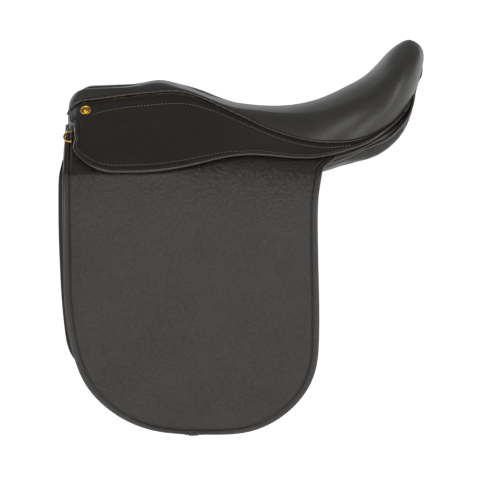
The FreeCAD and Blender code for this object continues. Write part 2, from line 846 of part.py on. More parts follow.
# The sweat flap hangs from the panel's edge, inside the billets; its horn lines the head.
SWEAT_SIDE = 193.5
SWEAT_OUTLINE = [
    (-233, 60), (-252, 66), (-252.5, 30), (-253, -30), (-252, -110), (-249, -170), (-242, -228),
    (-225, -258), (-190, -275), (-100, -282), (0, -278), (60, -256), (86, -210), (94, -140), (95, 6),
]


def sweat_flap():
    """The inner flap: a horn beside the head, a seam along the panel and the hanging sheet."""
    def draw(sketch):
        add_run(sketch, SWEAT_OUTLINE[1:])
        add_run(sketch, [SWEAT_OUTLINE[-1], (-205, 6)])
        add_run(sketch, [(-205, 6), (-226, 14), (-233, 34)])
        add_run(sketch, [(-233, 34), SWEAT_OUTLINE[0]])
        add_run(sketch, [SWEAT_OUTLINE[0], SWEAT_OUTLINE[1]])
    body = side_slab("sweat_flap_body", draw)
    horn = inset(flap_line(-235), size["flap_leather"] + 1.6)[1:4]
    profile = horn + [(SWEAT_SIDE - 2, 8), (SWEAT_SIDE, -20), (SWEAT_SIDE, -120), (SWEAT_SIDE, -290)]
    profile_cut(body, "sweat_profile", profile, size["sweat_leather"])
    return body


keep_pair("sweat_flap", sweat_flap())


# ---------------------------------------------------------------- panels
CHANNEL_HALF = 36.0
panel_side = smooth([
    (-225, 186), (-150, 189), (60, 189), (84, 186), (105, 180), (120, 174), (150, 167), (180, 157),
    (208, 143), (233, 121), (250, 99), (257, 92),
])
panel_side_height = smooth([
    (-225, 10), (60, 10), (120, 18), (150, 34), (180, 46), (208, 58), (233, 80), (250, 106), (257, 112),
])
panel_low_side = smooth([
    (-225, 180), (60, 184), (120, 166), (150, 155), (180, 145), (208, 134), (233, 116), (250, 98), (257, 90),
])
panel_low_height = smooth([
    (-225, -2), (60, -2), (120, 8), (150, 19), (180, 26), (208, 36), (233, 56), (250, 84), (257, 100),
])
channel_low = smooth([
    (-225, 62), (-150, 68), (-60, 64), (20, 46), (80, 34), (120, 34), (180, 44), (208, 56), (233, 82),
    (250, 104), (257, 108),
])
panel_cap = smooth([(180, 150), (208, 132), (233, 134), (250, 130), (257, 122)])
PANEL_DEPTH = gullet_top + size["tree_steel"] + 1.0
panel_clear = smooth([(-225, 13), (-98, 13), (-88, 9), (250, 9)])


def panel_section(x):
    """One stuffed cushion: its top follows the tree, its outer edge is rolled."""
    in_top = (CHANNEL_HALF, min(skin_height(x, CHANNEL_HALF) - PANEL_DEPTH - 0.5, panel_cap(x)))
    if x < 130:
        seat_top = under(x, 0.8 * welt_side(x), PANEL_DEPTH + 2.0)
        below_flap = inset(flap_line(x), size["flap_leather"] + panel_clear(x))
        top = [in_top, seat_top] + below_flap[:4]
    else:
        reach = welt_side(x)
        corner = (reach - 8, welt_height(x) - 11)
        rise = in_top[1] - corner[1]
        middle = [
            (in_top[0] + share * (corner[0] - in_top[0]), corner[1] + rise * (1 - share) ** 0.7)
            for share in (0.3, 0.6, 0.85)
        ]
        top = [in_top] + middle + [corner, (reach - 2.5, welt_height(x) - 15)]
    low = (panel_low_side(x), panel_low_height(x))
    bulge = (panel_side(x), panel_side_height(x))
    in_low = (CHANNEL_HALF, channel_low(x))
    belly = ((low[0] + in_low[0]) / 2, (low[1] + in_low[1]) / 2 - 4)
    return left(top + [bulge]), left([in_low, belly, low])


panel = loft_body(
    "panel_body", grid(-225, 257), panel_section, straight=True,
)
keep_pair("panel", panel)


def tube(name, points, radius):
    """A round cord along a smooth line of points."""
    curve = Part.BSplineCurve()
    curve.interpolate(points)
    spine = Part.Wire([curve.toShape()])
    start = points[0]
    direction = curve.tangent(curve.FirstParameter)[0]
    circle = Part.Wire([Part.Circle(start, direction, radius).toShape()])
    piece = doc.addObject("Part::Feature", name)
    piece.Shape = spine.makePipeShell([circle], True, True)
    return piece


PANEL_WELT_X = [136, 155, 180, 208, 233, 248]
welt_radius = 1.8
keep_pair("panel_welt", tube(
    "panel_welt_tube",
    [Vector(x, -panel_side(x) - welt_radius - 1.0, panel_side_height(x) - 3) for x in PANEL_WELT_X],
    welt_radius,
))


def bridge(label, stations):
    """A leather bridge that joins the two panels over the channel."""
    def section(x):
        share = (CHANNEL_HALF - gap) / welt_side(x)
        return across(x, share, PANEL_DEPTH + 1), across(x, share, PANEL_DEPTH + 3.5)

    return loft_body(label, stations, section)


keep("panel_bridge_front", bridge("bridge_front_body", grid(-114, -78)))
keep("panel_bridge_rear", bridge("bridge_rear_body", grid(150, 195)))

pocket = strip_of_layer(
    "point_pocket_body", grid(-222, -162),
    lambda x: (point_reach(x) + 2, point_reach(x) + 18),
    lambda x, side: flap_depth(x, side) + size["flap_leather"] + 2.0, 4.0,
)
keep_pair("point_pocket", pocket)


# ---------------------------------------------------------------- linings and welt
def pommel_lining():
    """The leather wall round the inside of the cut-back."""
    body = doc.addObject("PartDesign::Body", "pommel_lining_body")
    sketch = sketch_on(body, "lining_plan", "XY_Plane", 103)
    inner = size["notch_half_width"]
    outer = inner + size["lining_leather"]
    front = -246.0
    centre = -250.0 + size["notch_length"] - inner
    for radius in (inner, outer):
        arc = Part.Arc(Vector(centre, -radius, 0), Vector(centre + radius, 0, 0), Vector(centre, radius, 0))
        sketch.addGeometry(arc, False)
        for sign in (-1, 1):
            add_run(sketch, [(centre, sign * radius), (front, sign * radius)])
    for sign in (-1, 1):
        add_run(sketch, [(front, sign * inner), (front, sign * outer)])
    pad(body, sketch, length=17.0)
    return body


keep("pommel_lining", pommel_lining())

WELT_X = [-240, -194, -128, -82, -46, 9, 64, 99, 153, 180, 208, 233, 251, 260, 266]
PLAN_TURN = 205.0


def welt_points():
    """The welt's line, just proud of the skin, from one nail round the back to the other."""
    points = []
    proud = size["piping_radius"] + 1.2
    for x in WELT_X:
        if x < PLAN_TURN:
            side, height = under(x, welt_side(x), -proud)
            points.append(Vector(x, -side, height))
            continue
        slope = welt_side(x + 0.5) - welt_side(x - 0.5)
        length = math.hypot(slope, 1.0)
        out = proud + 1.2
        points.append(Vector(x - out * slope / length, -welt_side(x) - out / length, welt_height(x)))
    back = Vector(271.8, 0, 156)
    return points + [back] + [Vector(p.x, -p.y, p.z) for p in reversed(points)]


keep("seat_welt", tube("seat_welt_tube", welt_points(), size["piping_radius"]))


# ---------------------------------------------------------------- billets and buckle guards
BILLET_SIDE = 198.0
BILLET_TOP = 8.0
BILLET_FIRST_X = -70.0
BILLET_HOLES = 8
FIRST_HOLE = -100.0


def billet(label, x):
    """One girth strap: a flat strap with a pointed end and a row of punched holes."""
    body = doc.addObject("PartDesign::Body", label)
    half = size["billet_width"] / 2
    low = BILLET_TOP - size["billet_length"]
    sketch = sketch_on(body, label + "_outline", "XZ_Plane", BILLET_SIDE)
    outline = [
        (x - half, BILLET_TOP), (x + half, BILLET_TOP), (x + half, low + half),
        (x, low), (x - half, low + half),
    ]
    for a, b in zip(outline, outline[1:] + outline[:1]):
        add_run(sketch, [a, b])
    pad(body, sketch, "billet_leather")
    holes = sketch_on(body, label + "_hole", "XZ_Plane", BILLET_SIDE)
    circle = Part.Circle(Vector(x, FIRST_HOLE, 0), Vector(0, 0, 1), size["billet_hole_radius"])
    index = holes.addGeometry(circle, False)
    rule = holes.addConstraint(Sketcher.Constraint("Radius", index, size["billet_hole_radius"]))
    holes.setExpression("Constraints[%d]" % rule, cell("billet_hole_radius"))
    punched = pocket_through(body, holes)
    row = body.newObject("PartDesign::LinearPattern", label + "_holes")
    row.Originals = [punched]
    row.Direction = (holes, ["V_Axis"])
    row.Reversed = True
    row.Occurrences = BILLET_HOLES
    row.Length = (BILLET_HOLES - 1) * size["billet_hole_pitch"]
    row.setExpression("Length", "%s * %d" % (cell("billet_hole_pitch"), BILLET_HOLES - 1))
    body.Tip = row
    doc.recompute()
    return body


billet_x = [BILLET_FIRST_X + i * size["billet_pitch"] for i in range(3)]
for name, x in zip(("front", "middle", "rear"), billet_x):
    piece = billet("billet_%s_body" % name, x)
    keep("billet_%s_left" % name, piece)
    keep("billet_%s_right" % name, mirrored("billet_%s_mirror" % name, piece))

GUARD_TOP = -45.0
LOOP_CLEAR = 1.2
LOOP_WALL = 2.0


def buckle_guard():
    """A leather pad outside the billets, with a loop behind each of the two front ones."""
    front_face = BILLET_SIDE + size["billet_leather"] + 1.0
    back_face = BILLET_SIDE - 1.0
    low = GUARD_TOP - size["guard_height"]
    reach = size["billet_width"] / 2 + LOOP_CLEAR
    first, second = billet_x[0], billet_x[1]
    plate = box(
        "guard_plate", (first - reach - 8, -front_face - size["guard_leather"], low),
        (second + reach + 8, -front_face, GUARD_TOP),
    )
    pieces = [plate]
    for i, x in enumerate((first, second)):
        for j, edge in enumerate((x - reach - LOOP_WALL, x + reach)):
            pieces.append(box(
                "guard_loop_wall_%d_%d" % (i, j), (edge, -front_face - 0.5, low + 30),
                (edge + LOOP_WALL, -back_face + 2.5, low + 50),
            ))
        pieces.append(box(
            "guard_loop_back_%d" % i, (x - reach - LOOP_WALL, -back_face, low + 30),
            (x + reach + LOOP_WALL, -back_face + 2.5, low + 50),
        ))
    doc.recompute()
    return fused("guard_whole", pieces)


keep_pair("buckle_guard", buckle_guard())


# ---------------------------------------------------------------- dee rings and their tabs
DEE_X = -238.5
DEE_SIDE = 151.0
DEE_DEPTH = 6.2
dee_place = across_skin(DEE_X, DEE_SIDE, DEE_DEPTH)
straight = 2 * size["dee_bend_radius"]


def dee_ring():
    """A brass dee: a half ring closed by its straight bar, in the plane of the flap."""
    bend = doc.addObject("Part::Torus", "dee_bend")
    bend.setExpression("Radius1", cell("dee_bend_radius"))
    bend.setExpression("Radius2", cell("dee_wire_radius"))
    bend.Angle3 = 180
    bend.Placement = Placement(Vector(0, 0, 0), Rotation(Vector(0, 0, 1), 90))
    bar = doc.addObject("Part::Cylinder", "dee_bar")
    bar.setExpression("Radius", cell("dee_wire_radius"))
    bar.setExpression("Height", "2 * " + cell("dee_bend_radius"))
    bar.Placement = Placement(Vector(0, straight / 2, 0), Rotation(Vector(1, 0, 0), 90))
    ends = []
    for i, sign in enumerate((-1, 1)):
        ball = doc.addObject("Part::Sphere", "dee_corner_%d" % i)
        ball.setExpression("Radius", cell("dee_wire_radius"))
        ball.Placement = Placement(Vector(0, sign * straight / 2, 0), Rotation())
        ends.append(ball)
    doc.recompute()
    ring = fused("dee_whole", [bend, bar] + ends)
    ring.Placement = dee_place
    return ring


def dee_tab():
    """The leather chape: a barrel round the dee's bar and a tongue nailed under the skirt."""
    half = 7.0
    barrel = doc.addObject("Part::Cylinder", "tab_barrel")
    barrel.setExpression("Radius", cell("dee_wire_radius") + " + 1.2")
    barrel.Height = 2 * half
    barrel.Placement = Placement(Vector(0, half, 0), Rotation(Vector(1, 0, 0), 90))
    tongue = box("tab_tongue", (0, -half, -1.0), (30, half, 1.0))
    hole = doc.addObject("Part::Cylinder", "tab_hole")
    hole.setExpression("Radius", cell("dee_wire_radius") + " + " + cell("running_fit"))
    hole.Height = 40
    hole.Placement = Placement(Vector(0, 20, 0), Rotation(Vector(1, 0, 0), 90))
    doc.recompute()
    tab = cut("tab_cut", fused("tab_whole", [barrel, tongue]), hole)
    tab.Placement = dee_place
    return tab


keep_pair("dee_ring", dee_ring())
keep_pair("dee_tab", dee_tab())

# ---------------------------------------------------------------- check and write
doc.recompute()
for item in doc.Objects:
    if "Invalid" in item.State or "Error" in item.State:
        raise RuntimeError("%s is %s" % (item.Name, item.State))
unsound = [
    name for name, piece in nodes.items()
    if piece.Shape.isNull() or not piece.Shape.isValid() or not piece.Shape.Solids
]
if unsound:
    raise RuntimeError("no valid shape: " + ", ".join(unsound))
for name, piece in nodes.items():
    piece.Shape.exportStep("parts/%s.step" % name)
print("%d sub-parts" % len(nodes))
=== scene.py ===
"""English show saddle with a cut-back head: the leather, welts, stitching and finishes.

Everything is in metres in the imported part's frame: X from pommel to cantle, Y to the rider's
right, Z up. Shape curves are written in millimetres and turned to metres when a mesh is made.
"""
import math

import bmesh
import bpy
import numpy as np
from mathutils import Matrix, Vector


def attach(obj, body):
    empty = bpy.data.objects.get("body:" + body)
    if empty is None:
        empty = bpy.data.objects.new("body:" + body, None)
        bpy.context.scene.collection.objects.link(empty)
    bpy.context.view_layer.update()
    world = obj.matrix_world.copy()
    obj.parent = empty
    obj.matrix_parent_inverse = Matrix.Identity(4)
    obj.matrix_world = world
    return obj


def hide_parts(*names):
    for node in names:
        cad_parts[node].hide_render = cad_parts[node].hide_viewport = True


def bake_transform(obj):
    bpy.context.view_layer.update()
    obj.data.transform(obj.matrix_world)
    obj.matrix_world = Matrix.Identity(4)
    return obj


bl_info = {
    "name": "Cut-back show saddle",
    "version": (1, 0, 0),
    "blender": (4, 5, 0),
    "location": "View3D > Sidebar > Saddle",
    "description": "Builds the leather and the finishes of an english saddle round its packed frame",
    "category": "Add Mesh",
}

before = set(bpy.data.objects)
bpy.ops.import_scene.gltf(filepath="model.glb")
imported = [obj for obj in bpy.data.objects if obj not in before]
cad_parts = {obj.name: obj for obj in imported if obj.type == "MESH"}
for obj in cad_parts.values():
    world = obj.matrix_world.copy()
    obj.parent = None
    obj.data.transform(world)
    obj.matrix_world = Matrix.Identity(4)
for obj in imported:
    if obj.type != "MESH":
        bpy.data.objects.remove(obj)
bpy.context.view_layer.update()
MM = 0.001
SIDES = {"left": -1.0, "right": 1.0}


# ---------------------------------------------------------------- curves
def spline_slopes(places):
    """The matrix that turns values at the places into the slopes of a natural cubic spline."""
    count = len(places)
    run = np.diff(places)
    left = np.zeros((count, count))
    right = np.zeros((count, count))
    left[0, :2] = 2, 1
    right[0, :2] = -3 / run[0], 3 / run[0]
    left[-1, -2:] = 1, 2
    right[-1, -2:] = -3 / run[-1], 3 / run[-1]
    for i in range(1, count - 1):
        before, after = run[i - 1], run[i]
        left[i, i - 1:i + 2] = 1 / before, 2 / before + 2 / after, 1 / after
        right[i, i - 1:i + 2] = -3 / before ** 2, 3 / before ** 2 - 3 / after ** 2, 3 / after ** 2
    return np.linalg.solve(left, right)


def hermite(start, end, start_slope, end_slope, t):
    """The cubic from start to end whose slopes at t 0 and 1 are given."""
    return (
        start * (1 + 2 * t) * (1 - t) ** 2 + start_slope * t * (1 - t) ** 2
        + end * t * t * (3 - 2 * t) - end_slope * t * t * (1 - t)
    )


def line_through(points):
    """A smooth function through (place, value, ...) rows: a natural cubic spline of each value."""
    table = np.array(points, float)
    places, values = table[:, 0], table[:, 1:]
    slopes = spline_slopes(places) @ values

    def value_at(place):
        place = np.clip(np.asarray(place, float), places[0], places[-1])
        i = np.clip(np.searchsorted(places, place) - 1, 0, len(places) - 2)
        run = (places[i + 1] - places[i])[..., None]
        t = (place - places[i])[..., None] / run
        found = hermite(values[i], values[i + 1], slopes[i] * run, slopes[i + 1] * run, t)
        return found[..., 0] if values.shape[1] == 1 else found

    return value_at


def across_knots(knots, points, at):
    """A spline across a stack of points: points[k] is reached at knots[k], for every column."""
    knots = np.asarray(knots, float)
    flat = points.reshape(len(knots), -1)
    slopes = spline_slopes(knots) @ flat
    i = np.clip(np.searchsorted(knots, at) - 1, 0, len(knots) - 2)
    run = (knots[i + 1] - knots[i])[:, None]
    t = (at - knots[i])[:, None] / run
    found = hermite(flat[i], flat[i + 1], slopes[i] * run, slopes[i + 1] * run, t)
    return found.reshape((len(at),) + points.shape[1:])


def run_along(path):
    """The length run along a path up to each of its points."""
    return np.concatenate([[0], np.cumsum(np.linalg.norm(np.diff(path, axis=0), axis=1))])


def by_length(points):
    """A smooth line through points, as a function of the share 0 to 1 of its length."""
    points = np.array(points, float)
    lengths = run_along(points)
    return line_through(np.column_stack([lengths / lengths[-1], points]))


def ease(value, low, high):
    """0 up to low, 1 from high, and a smooth step between."""
    t = np.clip((np.asarray(value, float) - low) / (high - low), 0, 1)
    return t * t * (3 - 2 * t)


def unit(vectors):
    """Vectors brought to length 1; a zero vector stays zero."""
    return vectors / np.maximum(np.linalg.norm(vectors, axis=-1, keepdims=True), 1e-12)


def stacked(x, y, z):
    """Points from three coordinates, each a number or an array."""
    return np.stack(np.broadcast_arrays(x, y, z), axis=-1).astype(float)


def close_spaced(low, high, count):
    """Places from low to high that crowd at both ends."""
    return low + (high - low) * 0.5 * (1 - np.cos(np.linspace(0, math.pi, count)))


# ---------------------------------------------------------------- the saddle's own lines (mm)
# A station is X up to STATION_TURN; beyond it stations run on round the back of the seat.
FRONT = -222.0
FRONT_ROLL = 27.0
STATION_TURN = 150.0
STATION_BACK = 380.0
WELT_FRONT = [
    (-252, 88.5, 108.5), (-234, 88, 109.5), (-194, 84, 114), (-160, 80, 118.5), (-128, 77, 121.5),
    (-82, 79, 122), (-46, 87, 110), (-18, 95, 97), (9, 104, 85), (36, 117, 73), (64, 130, 63.5),
    (99, 145, 56), (128, 152, 54),
]
WELT_BACK = [
    (150, 153, 153.5, 55), (180, 181, 150, 61), (212, 208, 137, 72), (248, 233, 112, 92),
    (290, 251, 81, 115), (325, 261, 50, 137), (358, 266.3, 20, 152), (380, 267.5, 0, 155.5),
    (402, 266.3, -20, 152), (435, 261, -50, 137),
]
welt_line = line_through([(x, x, side, z) for x, side, z in WELT_FRONT] + WELT_BACK)
HEM_FRONT = [
    (-252, 210, 19), (-200, 210, 19), (-165, 210.5, 18.5), (-122, 212, 20), (-90, 210, 24),
    (-61, 205.5, 29.5), (-18, 198, 39), (22, 193, 42), (49, 192, 40), (84, 190, 37), (104, 187, 37),
    (125, 182, 40),
]
HEM_BACK = [
    (150, 152, 174, 47), (180, 180, 163, 56), (212, 205, 146, 70), (248, 226, 123, 85),
    (290, 243, 91, 104), (325, 251.5, 57, 118), (358, 256, 23, 125.5), (380, 257, 0, 127),
    (402, 256, -23, 125.5), (435, 251.5, -57, 118),
]
hem_line = line_through([(x, x, side, z) for x, side, z in HEM_FRONT] + HEM_BACK)
FOLD_FRONT = np.array([-236.0, 128.0, 84.0])
FOLD_REAR = np.array([52.0, 193.0, 41.0])
crown = line_through([
    (-260, 124), (-240, 125.5), (-215, 126.5), (-180, 128.5), (-146, 133), (-124, 137), (-107, 135.5),
    (-89, 130), (-54, 116), (-18, 105.5), (20, 100), (60, 98.8), (89, 102), (125, 112), (161, 129),
    (196, 152), (222, 180), (240, 193.5), (252, 197), (262, 193),
])
# How fast the seat's top falls away to the sides, in mm per square mm.
fall_off = line_through([
    (-260, 0.0), (-180, 0.0), (-130, 0.0006), (-82, 0.0004), (-18, 0.0004), (20, 0.0005), (72, 0.0007),
    (107, 0.0009), (143, 0.001), (178, 0.0012), (205, 0.0016), (222, 0.0021), (240, 0.003), (262, 0.0045),
])
NOTCH_HALF = 36.0
NOTCH_CENTRE = -180.0
NOTCH_END = NOTCH_CENTRE + NOTCH_HALF


def front_drop(x):
    """How far the pommel has rolled down at x: a quarter circle that starts at FRONT."""
    past = np.clip(FRONT - x, 0, FRONT_ROLL - 0.4)
    return FRONT_ROLL - np.sqrt(FRONT_ROLL ** 2 - past ** 2)


def bend_front(points):
    """Lowers points ahead of FRONT by the pommel's roll, fading out down the sides."""
    fade = 1 - ease(np.abs(points[..., 1]), 92, 150)
    moved = points.copy()
    moved[..., 2] -= front_drop(points[..., 0]) * fade
    return moved


def fold_line(station):
    """A line of points along the skirt's fold in front, and down its middle behind."""
    share = (station - FOLD_FRONT[0]) / (FOLD_REAR[0] - FOLD_FRONT[0])
    ahead = FOLD_FRONT + share[..., None] * (FOLD_REAR - FOLD_FRONT)
    welt, hem = welt_line(station), hem_line(station)
    middle = welt + 0.55 * (hem - welt) + np.array([0.0, 0.8, 1.6])
    back = ease(station, -10, 70)[..., None]
    return ahead * (1 - back) + middle * back


def fold_share(welt, fold, hem):
    """Where down the skirt the fold falls, by the lengths of the two chords beside it."""
    first = np.linalg.norm(fold - welt, axis=-1)
    second = np.linalg.norm(hem - fold, axis=-1)
    return np.clip(first / (first + second), 0.3, 0.8)


def side_skin(station, share):
    """The outer skin of the skirts: in each section a parabola from the welt, through the fold
    line, to the hem at share 1. The last points may run past the hem."""
    welt, fold, hem = welt_line(station), fold_line(station), hem_line(station)
    at_fold = fold_share(welt, fold, hem)[..., None]
    share = share[..., None]
    pull = (fold - (1 - at_fold) ** 2 * welt - at_fold ** 2 * hem) / (2 * at_fold * (1 - at_fold))
    return (1 - share) ** 2 * welt + 2 * share * (1 - share) * pull + share ** 2 * hem


def side_share(station, side):
    """The share down the skirt at which it is that far from the plane of symmetry."""
    welt, fold, hem = welt_line(station), fold_line(station), hem_line(station)
    at_fold = fold_share(welt, fold, hem)
    a, c = welt[..., 1], hem[..., 1]
    b = (fold[..., 1] - (1 - at_fold) ** 2 * a - at_fold ** 2 * c) / (2 * at_fold * (1 - at_fold))
    square, linear, rest = a - 2 * b + c, 2 * (b - a), a - side
    root = np.sqrt(np.maximum(linear ** 2 - 4 * square * rest, 0))
    return 2 * rest / (-linear - root)


def across_section(down):
    """The outward unit normal, in the section's plane, of a direction down the skirt."""
    return unit(stacked(0.0, -down[..., 2], down[..., 1]))


def skin_and_normal(station, share, step=0.02):
    """Points of the outer skin and their outward normals."""
    points = side_skin(station, share)
    return points, across_section(side_skin(station, share + step) - points)


# ---------------------------------------------------------------- meshes
def grid_faces(rows, columns, start=0, flip=False):
    """The quads of a grid of rows by columns points, in reading order."""
    corner = start + np.arange((rows - 1) * columns).reshape(rows - 1, columns)[:, :-1].ravel()
    faces = np.stack([corner, corner + 1, corner + columns + 1, corner + columns], axis=1)
    return faces[:, ::-1] if flip else faces


def ring_faces(rings, sides):
    """Numbers the points of closed rings in reading order; returns those numbers, the next
    point round for each, and the quads between one ring and the next."""
    index = np.arange(rings * sides).reshape(rings, sides)
    after = np.roll(index, -1, axis=1)
    faces = np.stack([index[:-1], after[:-1], after[1:], index[1:]], axis=-1)
    return index, after, faces.reshape(-1, 4)


def new_piece(name, points, faces, material, smooth=True):
    """A mesh object at the origin from points in mm and a list of quads or triangles."""
    mesh = bpy.data.meshes.new(name)
    mesh.from_pydata((np.asarray(points) * MM).tolist(), [], [list(map(int, f)) for f in faces])
    mesh.validate()
    piece = bpy.data.objects.new(name, mesh)
    bpy.context.scene.collection.objects.link(piece)
    mesh.materials.append(material)
    if smooth:
        mesh.shade_smooth()
    return piece


def store(piece, name, values):
    """A number on every point of a piece, for its material to read."""
    attribute = piece.data.attributes.new(name, "FLOAT", "POINT")
    attribute.data.foreach_set("value", np.asarray(values, np.float32).ravel())


def grid_normals(points, outward):
    """Unit normals of a grid of points, turned to agree with the outward vector."""
    normal = unit(np.cross(np.gradient(points, axis=1), np.gradient(points, axis=0)))
    sign = np.sign(np.sum(normal * outward))
    return normal * (sign if sign else 1.0)


def rim_loop(rows, columns):
    """The indices round the edge of a grid, once, in order."""
    top = np.arange(columns)
    right = np.arange(1, rows) * columns + columns - 1
    bottom = (rows - 1) * columns + np.arange(columns - 1)[::-1]
    left = np.arange(1, rows - 1)[::-1] * columns
    return np.concatenate([top, right, bottom, left])


def edge_distance(points, loop_points):
    """The distance of every point to the nearest edge point, worked out in blocks."""
    found = np.empty(len(points))
    block = 3000
    for start in range(0, len(points), block):
        part = points[start:start + block, None, :] - loop_points[None]
        found[start:start + block] = np.sqrt((part ** 2).sum(-1).min(axis=1))
    return found


FAR_OFF = 99.0


def leather_sheet(name, points, outward, thickness, material, facts=None):
    """A sheet of leather on a grid of outer points: the inner face lies one thickness below
    along the normal, and the rim between them is half a circle of that diameter."""
    rows, columns = points.shape[:2]
    normal = grid_normals(points, outward)
    outer = points.reshape(-1, 3)
    normals = normal.reshape(-1, 3)
    inner = outer - thickness * normals
    loop = rim_loop(rows, columns)
    ring = outer[loop]
    along = unit(np.roll(ring, -1, axis=0) - np.roll(ring, 1, axis=0))
    out = unit(np.cross(along, normals[loop]))
    centre = points[rows // 2, columns // 2]
    if np.sum(out * (ring - centre)) < 0:
        out = -out
    middle = ring - 0.5 * thickness * normals[loop]
    turns = np.radians([30, 60, 90, 120, 150])
    rim = [
        middle + 0.5 * thickness * (math.cos(a) * normals[loop] + math.sin(a) * out) for a in turns
    ]
    count, size = len(outer), len(loop)
    bands = [loop] + [2 * count + i * size + np.arange(size) for i in range(len(turns))]
    bands.append(count + loop)
    faces = [grid_faces(rows, columns), grid_faces(rows, columns, count, True)]
    for high, low in zip(bands, bands[1:]):
        faces.append(np.stack([high, low, np.roll(low, -1), np.roll(high, -1)], axis=1))
    faces = np.concatenate(faces)
    all_points = np.concatenate([outer, inner] + rim)
    first = np.cross(outer[1] - outer[0], outer[columns] - outer[0])
    if np.dot(first, normals[0]) < 0:
        faces = faces[:, ::-1]
    piece = new_piece(name, all_points, faces, material)
    recalculate(piece)
    step = np.roll(ring, -1, axis=0) - ring
    ring_fine = np.concatenate([ring + part * step for part in (0, 0.33, 0.66)])
    edge = edge_distance(outer, ring_fine)
    store(piece, "edge_mm", np.concatenate([edge, edge, np.zeros(size * len(turns))]))
    for key, values in (facts or {}).items():
        elsewhere = np.full(count + size * len(turns), FAR_OFF)
        store(piece, key, np.concatenate([np.asarray(values).ravel(), elsewhere]))
    return piece


def recalculate(piece, merge=0.0):
    """Turns all the faces of a closed piece outwards, once points nearer than merge are one."""
    work = bmesh.new()
    work.from_mesh(piece.data)
    if merge:
        bmesh.ops.remove_doubles(work, verts=work.verts, dist=merge)
    bmesh.ops.recalc_face_normals(work, faces=work.faces)
    work.to_mesh(piece.data)
    work.free()


def tube(name, path, radius, material, up=(0.0, 0.0, 1.0), sides=14, twist=None):
    """A cord round a path: at each point a ring in the plane across the path. twist is a
    function of (turn, length along) that scales the radius, for plaits and ribs."""
    path = np.asarray(path, float)
    along = unit(np.gradient(path, axis=0))
    up = np.broadcast_to(np.asarray(up, float), path.shape)
    first = unit(up - along * np.sum(up * along, axis=-1, keepdims=True))
    second = np.cross(along, first)
    length = run_along(path)
    turn = np.linspace(0, 2 * math.pi, sides, endpoint=False)
    size = np.broadcast_to(np.asarray(radius, float), length.shape)[:, None] * np.ones(sides)
    if twist:
        size = size * twist(turn[None, :], length[:, None])
    rings = path[:, None] + size[..., None] * (
        np.cos(turn)[None, :, None] * first[:, None] + np.sin(turn)[None, :, None] * second[:, None]
    )
    count = len(path)
    index, after, faces = ring_faces(count, sides)
    points = np.concatenate([rings.reshape(-1, 3), path[:1], path[-1:]])
    caps = [[count * sides, after[0, i], index[0, i]] for i in range(sides)]
    caps += [[count * sides + 1, index[-1, i], after[-1, i]] for i in range(sides)]
    piece = new_piece(name, points, list(faces) + caps, material)
    recalculate(piece)
    return piece


def sampled(at, length, path):
    """The points, or the vectors, of a path at some lengths along it."""
    return np.stack([np.interp(at, length, path[:, i]) for i in range(3)], axis=1)


def evenly(path, step):
    """The path resampled at an even step, with the same two ends."""
    path = np.asarray(path, float)
    length = run_along(path)
    count = max(int(round(length[-1] / step)), 2)
    at = np.linspace(0, length[-1], count + 1)
    return sampled(at, length, path)


def stitch_row(name, path, normals, material, pitch, thread):
    """A row of sewn stitches: each is a small spindle that lies along the path and dips into
    the leather at both ends."""
    path, normals = np.asarray(path, float), np.asarray(normals, float)
    length = run_along(path)
    at = np.arange(pitch / 2, length[-1], pitch)
    centre = sampled(at, length, path)
    up = unit(sampled(at, length, normals))
    along = unit(sampled(at + 0.5, length, path) - sampled(at - 0.5, length, path))
    across = unit(np.cross(along, up))
    rings, sides = 5, 6
    share = np.linspace(-1, 1, rings)
    width = thread / 2 * np.sqrt(np.maximum(1 - (share * 0.97) ** 2, 0.02))
    turn = np.linspace(0, 2 * math.pi, sides, endpoint=False)
    lie = share[:, None] * 0.40 * pitch + 0 * turn
    sideways = width[:, None] * np.cos(turn)
    lift = width[:, None] * np.sin(turn) + (0.22 * thread * (1 - 2.2 * share ** 2))[:, None]
    template = np.stack([lie, sideways, lift], axis=-1).reshape(-1, 3)
    basis = np.stack([along, across, up], axis=1)
    points = centre[:, None] + np.einsum("tk,skj->stj", template, basis)
    index, _, faces = ring_faces(rings, sides)
    first = (np.arange(len(at)) * rings * sides)[:, None, None]
    every = (faces[None] + first).reshape(-1, 4)
    ends = np.stack([index[0, ::-1], index[-1]])
    caps = (ends[None] + first).reshape(-1, sides)
    piece = new_piece(name, points.reshape(-1, 3), every.tolist() + caps.tolist(), material)
    recalculate(piece)
    return piece


def on_side(points, sign):
    """Points given as (x, side, z), put on the left (sign -1) or on the right."""
    return points * np.array([1.0, sign, 1.0])


# ---------------------------------------------------------------- materials
TIMES = {"operation": "MULTIPLY"}
TIMES_PLUS = {"operation": "MULTIPLY_ADD"}
COLOURS = {"data_type": "RGBA"}


def linear(hex_colour):
    """Linear RGBA of an sRGB hex colour."""
    parts = [int(hex_colour[i:i + 2], 16) / 255 for i in (1, 3, 5)]
    return [c / 12.92 if c <= 0.04045 else ((c + 0.055) / 1.055) ** 2.4 for c in parts] + [1.0]


def feed(tree, node, inputs):
    """Gives a node's inputs their values, or links to another node's output. In an input's
    name _ stands for a space, and in with a number picks the input by its place."""
    for key, value in inputs.items():
        socket = node.inputs[int(key[2:]) if key[2:].isdigit() else key.replace("_", " ")]
        if isinstance(value, bpy.types.NodeSocket):
            tree.links.new(value, socket)
        else:
            socket.default_value = value


def add_node(tree, kind, settings=None, out=0, **inputs):
    """Adds a node with its settings and links, and returns its output of that place or name."""
    node = tree.nodes.new("ShaderNode" + kind)
    for key, value in (settings or {}).items():
        setattr(node, key, value)
    feed(tree, node, inputs)
    return node.outputs[out]


def blank_material(name):
    """A material with one Principled shader; returns the material, its tree and the shader."""
    material = bpy.data.materials.new(name)
    material.use_nodes = True
    tree = material.node_tree
    return material, tree, tree.nodes["Principled BSDF"]


